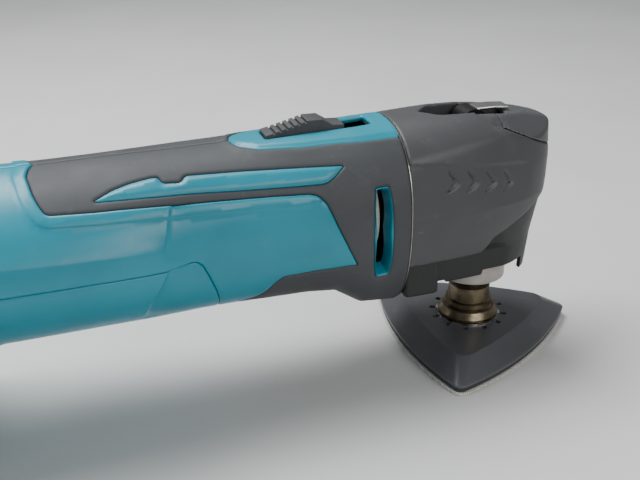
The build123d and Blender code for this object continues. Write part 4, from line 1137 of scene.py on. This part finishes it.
def strap_field(p):
    """The steel strap from the cam to the hood, bent over the pin."""
    s, y, _ = p.T
    across = np.abs(y + STRAP_JOG * np.tanh((s + 4.0) / 6.0)) - STRAP_HALF_WIDTH
    return soft_max(to_line(p[:, [0, 2]], STRAP) - STRAP_HALF_THICKNESS, across, 0.6)


shape = surface_of(strap_field, (-12.0, -6.0, 105.5), (13.0, 6.0, 115.5), 0.4)
make_piece("lever_strap", shape, "bright_steel", "lever")


def skirt_body(p):
    """The skirt's own outer form, boxier than the cover over it."""
    s, y, z = p.T
    nose = np.interp(z, [38, 57, 70, 78], [22.8, 24.4, 26.0, 27.2])
    side = np.interp(z, [38, 56, 60, 78], [21.8, 22.2, 24.4, 27.4])
    middle = -4.0
    plan = ratio_distance([np.maximum(s - middle, 0) / (nose - middle), np.abs(y) / side],
                          [nose - middle, side], 3.6)
    return soft_max(plan, head_body(p) + 1.0, 0.6)


def skirt_field(p):
    """The black skirt under the cover, its front lip deeper than its sides."""
    s, y, z = p.T
    outside = skirt_body(p)
    low = cheek_height(s)
    rim = np.interp(s, [-30.0, -24.0, -23.5, -6.4, -5.9, 15.4, 15.9, 40.0],
                    [44.2, 44.4, 43.2, 43.6, 46.0, 46.6, 40.3, 40.0])
    outside = soft_max(outside, z - low - 6.0, 0.8)
    outside = soft_max(outside, (rim - z) * 0.9, 0.6)
    outside = soft_max(outside, -29.0 - s, 0.6)
    room = soft_max(skirt_body(p) + SKIRT_WALL, -27.0 - s, 0.6)
    skirt = np.maximum(outside, -room)
    boss = soft_max(np.abs(y) - 24.3, soft_max(HEAD_START + 0.4 - s, s + 27.8, 2.5), 2.5)
    boss = soft_max(boss, soft_max(z - 58.5, 40.2 - z, 1.2), 0.8)
    boss = np.maximum(boss, 4.1 - np.hypot(y, z - 48.5))
    inner = soft_max(np.abs(y) - 21.5, soft_max(HEAD_START - 2.0 - s, s + 34.0, 1.0), 1.0)
    inner = soft_max(inner, 43.0 - z, 0.8)
    boss = np.maximum(boss, -inner)
    return np.minimum(skirt, boss)


shape = surface_of(skirt_field, (HEAD_START - 0.5, -31.0, 38.5), (31.0, 31.0, 83.0), 0.65)
make_piece("skirt", shape, "skirt_plastic", "tool_body", ["head_skirt"], 38.0)


SHAFT_ROOM = 9.2  # radius of the room round the spindle


def gear_case_field(p):
    """The cast housing, a shell close inside the cover."""
    s, y, z = p.T
    outside = soft_max(head_body(p) + 4.0, recess_floor(p) + 1.2, 1.5)
    outside = soft_max(outside, above_lever_seam(s, z) + 3.2, 1.5)
    low = cheek_height(s)
    outside = soft_max(outside, np.maximum(low + 1.0, 58.0) - z, 1.0)
    outside = soft_max(outside, HEAD_START + 0.6 - s, 0.8)
    shaft = np.hypot(s, y) - SHAFT_ROOM
    room = np.maximum(np.minimum(outside + CASE_WALL, shaft), z - 100.0)
    return np.maximum(outside, -room)


shape = surface_of(gear_case_field, (HEAD_START, -30.0, 56.5), (30.0, 30.0, 114.0), 0.9)
make_piece("gear_case", shape, "cast_alloy", "tool_body", ["gear_housing"])

shape = surface_of(lever_field, (-7.0, -31.0, 92.0), (32.5, 31.0, 117.5), 0.6)
make_piece("lever_hood", shape, "lever_plastic", "lever", ["lock_lever"], 38.0)

# ----------------------------------------------------------------- pad and battery
# The sanding pad: a bowed three-cornered outline, as the frame's own.
PAD_CORNER, PAD_SIDE, PAD_ROUND = 54.0, 34.5, 4.0
BOLT_HOLE = 9.2
HOOK_LAYER, FOAM_TOP = 1.4, 4.0
PAD_LIMIT = np.array([52.5, 46.0, 20.0])  # furthest along, across and up that a layer may reach


def pad_ring(inset, height, count=288):
    """A closed ring of points on the pad's outline, moved in by inset."""
    bow = (PAD_CORNER ** 2 + PAD_SIDE ** 2 - PAD_CORNER * PAD_SIDE) / (2 * PAD_SIDE - PAD_CORNER)
    offset = PAD_SIDE - bow
    middles = [2 * math.pi * (k + 0.5) / 3 for k in range(3)]
    centres = np.array([(offset * math.cos(t), offset * math.sin(t)) for t in middles])
    small = bow - PAD_ROUND
    reach = math.sqrt(small ** 2 - (offset * math.sin(math.pi / 3)) ** 2)
    tip = reach + offset * math.cos(math.pi / 3)
    tips = np.array([(tip * math.cos(2 * math.pi * k / 3), tip * math.sin(2 * math.pi * k / 3))
                     for k in range(3)])
    turn = 2 * math.pi * np.arange(count) / count
    way = np.stack([np.cos(turn), np.sin(turn)], 1)
    low, high = np.full(count, 15.0), np.full(count, 70.0)
    for _ in range(36):  # halves the range of radii until it meets the edge
        radius = (low + high) / 2
        at = way * radius[:, None]
        away = at[:, None] - centres[None]
        length = np.linalg.norm(away, axis=2)
        foot = centres[None] + away / length[..., None] * small
        clear_of = np.linalg.norm(foot[:, :, None] - centres[None, None], axis=3) < small + 1e-6
        good = clear_of.all(2)
        corner = np.linalg.norm(at[:, None] - tips[None], axis=2).min(1)
        outside = (length - small).max(1) > 0
        far = np.where(outside & ~good[np.arange(count), (length - small).argmax(1)], corner,
                       (length - small).max(1))
        inside = far < PAD_ROUND - inset
        low, high = np.where(inside, radius, low), np.where(inside, high, radius)
    ring = way * low[:, None]
    return np.column_stack([ring, np.full(count, height)]), turn


def pad_layer(name, rows, hole, ripple, look, node):
    """A flat layer of the pad, from rows of (inset, height) round its edge."""
    rings = []
    for number, (inset, height) in enumerate(rows):
        ring, turn = pad_ring(inset, height)
        wave = np.sin(37 * turn + 2.1 * number) + 0.7 * np.sin(61 * turn + number)
        edge = 0 if number in (0, len(rows) - 1) else ripple
        ring[:, :2] *= (1 - edge * (1 + 0.5 * wave) / 50.0)[:, None]
        ring = np.clip(ring, -PAD_LIMIT, PAD_LIMIT)
        rings.append(ring)
    ring_of_hole = np.stack([hole * np.cos(turn), hole * np.sin(turn)], 1)
    for height in (rows[-1][1], rows[0][1]):
        rings.append(np.column_stack([ring_of_hole, np.full(len(turn), height)]))
    data = np.concatenate(rings), tube_faces(len(rings), len(turn))
    return make_piece(name, data, look, "pad", [node], 40.0)


foam_rows = [(0.75, HOOK_LAYER), (0.42, HOOK_LAYER + 0.3), (0.24, HOOK_LAYER + 0.8),
             (0.18, (HOOK_LAYER + FOAM_TOP) / 2), (0.24, FOAM_TOP - 0.8), (0.42, FOAM_TOP - 0.3),
             (0.75, FOAM_TOP)]
pad_foam = pad_layer("pad_foam", foam_rows, BOLT_HOLE, 0.1, "foam", "pad_cushion")

hook_rows = [(0.2, 0.0), (-0.25, 0.12), (-0.5, 0.45), (-0.6, 0.8), (-0.45, 1.15),
             (0.2, HOOK_LAYER)]
hook_pad = pad_layer("hook_pad", hook_rows, BOLT_HOLE + 1.0, 0.18, "hook_fabric", "hook_layer")


# Raised finger ribs on the battery's two sides.
BATTERY_SIDE = 37.5
RIB_ALONG, RIB_HEIGHTS, RIB_SIZE = (-304.0, -272.0), (70.0, 76.0, 82.0, 88.0, 94.0), (0.75, 1.5)


def rib_bars(side):
    """Rounded bars, half sunk in the battery's side."""
    rings, faces, around, along = [], [], 14, 15
    for height in RIB_HEIGHTS:
        start = len(rings) * around
        for share in np.linspace(0, 1, along):
            taper = max(0.06, 1 - abs(2 * share - 1) ** 10) ** 0.5
            turn = 2 * math.pi * np.arange(around) / around
            rings.append(np.column_stack([
                np.full(around, RIB_ALONG[0] + share * (RIB_ALONG[1] - RIB_ALONG[0])),
                side * (BATTERY_SIDE - 0.1 + RIB_SIZE[0] * taper * np.cos(turn)),
                height + RIB_SIZE[1] * taper * np.sin(turn)]))
        for row in range(along - 1):
            for k in range(around):
                near, after = start + row * around, (k + 1) % around
                face = (near + k, near + after, near + around + after, near + around + k)
                faces.append(face[::side])
        last = start + (along - 1) * around
        faces.append(tuple(range(start, start + around))[::-side])
        faces.append(tuple(range(last, last + around))[::side])
    return np.concatenate(rings), faces


for side, name in ((1, "battery_ribs_left"), (-1, "battery_ribs_right")):
    make_piece(name, rib_bars(side), "battery_plastic", "battery",
               smooth_angle=50.0)


# ------------------------------------------------------------------ camera, light
SENSOR_WIDTH, LENS = 36.0, 47.8125  # millimetres
EYE = (-0.04396, -0.31316, 0.22169)
AZIMUTH, ELEVATION, ROLL = -17.785, 25.905, -0.996  # degrees
camera_data = bpy.data.cameras.new("camera")
camera_data.sensor_width, camera_data.lens = SENSOR_WIDTH, LENS
camera_data.clip_start, camera_data.clip_end = 0.01, 20.0
camera = bpy.data.objects.new("camera", camera_data)
bpy.context.scene.collection.objects.link(camera)
azimuth, elevation, roll = (math.radians(x) for x in (AZIMUTH, ELEVATION, ROLL))
back = Vector((math.sin(azimuth) * math.cos(elevation),
               -math.cos(azimuth) * math.cos(elevation), math.sin(elevation)))
right = Vector((0, 0, 1)).cross(back).normalized()
up = back.cross(right)
right, up = (right * math.cos(roll) + up * math.sin(roll),
             up * math.cos(roll) - right * math.sin(roll))
camera.matrix_world = Matrix([(*row, at) for row, at in zip(zip(right, up, back), EYE)]
                             + [(0, 0, 0, 1)])
bpy.context.scene.camera = camera


def softbox(name, place, target, size, power, tint=(1, 1, 1)):
    data = bpy.data.lights.new(name, "AREA")
    data.shape = "RECTANGLE"
    data.size, data.size_y = size
    data.energy = power
    data.color = tint
    lamp = bpy.data.objects.new(name, data)
    lamp.location = place
    lamp.rotation_euler = (Vector(target) - Vector(place)).to_track_quat("-Z", "Y").to_euler()
    bpy.context.scene.collection.objects.link(lamp)


softbox("overhead", (-0.2, 0.3, 0.95), (0.0, 0.0, 0.06), (0.8, 0.4), 15.0, (0.97, 0.99, 1.0))
softbox("front_fill", (0.35, -0.9, 0.55), (0.05, 0.0, 0.06), (0.7, 0.5), 5.0)
softbox("left_rim", (-0.7, 0.1, 0.45), (0.0, 0.0, 0.08), (0.4, 0.4), 2.5)

world = bpy.data.worlds.new("room")
world.use_nodes = True
world.node_tree.nodes["Background"].inputs["Color"].default_value = (0.86, 0.88, 0.9, 1.0)
world.node_tree.nodes["Background"].inputs["Strength"].default_value = 0.3
bpy.context.scene.world = world

FLOOR_REACH = 3.0
corners = [(x * FLOOR_REACH, y * FLOOR_REACH, 0) for x, y in ((-1, -1), (1, -1), (1, 1), (-1, 1))]
floor_mesh = bpy.data.meshes.new("floor")
floor_mesh.from_pydata(corners, [], [(0, 1, 2, 3)])
floor = bpy.data.objects.new("floor", floor_mesh)
bpy.context.scene.collection.objects.link(floor)
floor_look = Look("floor", 0.8)
floor_tone = floor_look.noise(9.0, 3.0, 0.5)
floor_ramp = floor_look.ramp(floor_tone, "Fac", [(0.3, linear(205, 205, 203)),
                                                 (0.7, linear(211, 211, 209))])
floor_look.colour(floor_ramp.outputs[0])
floor_mesh.materials.append(floor_look.material)
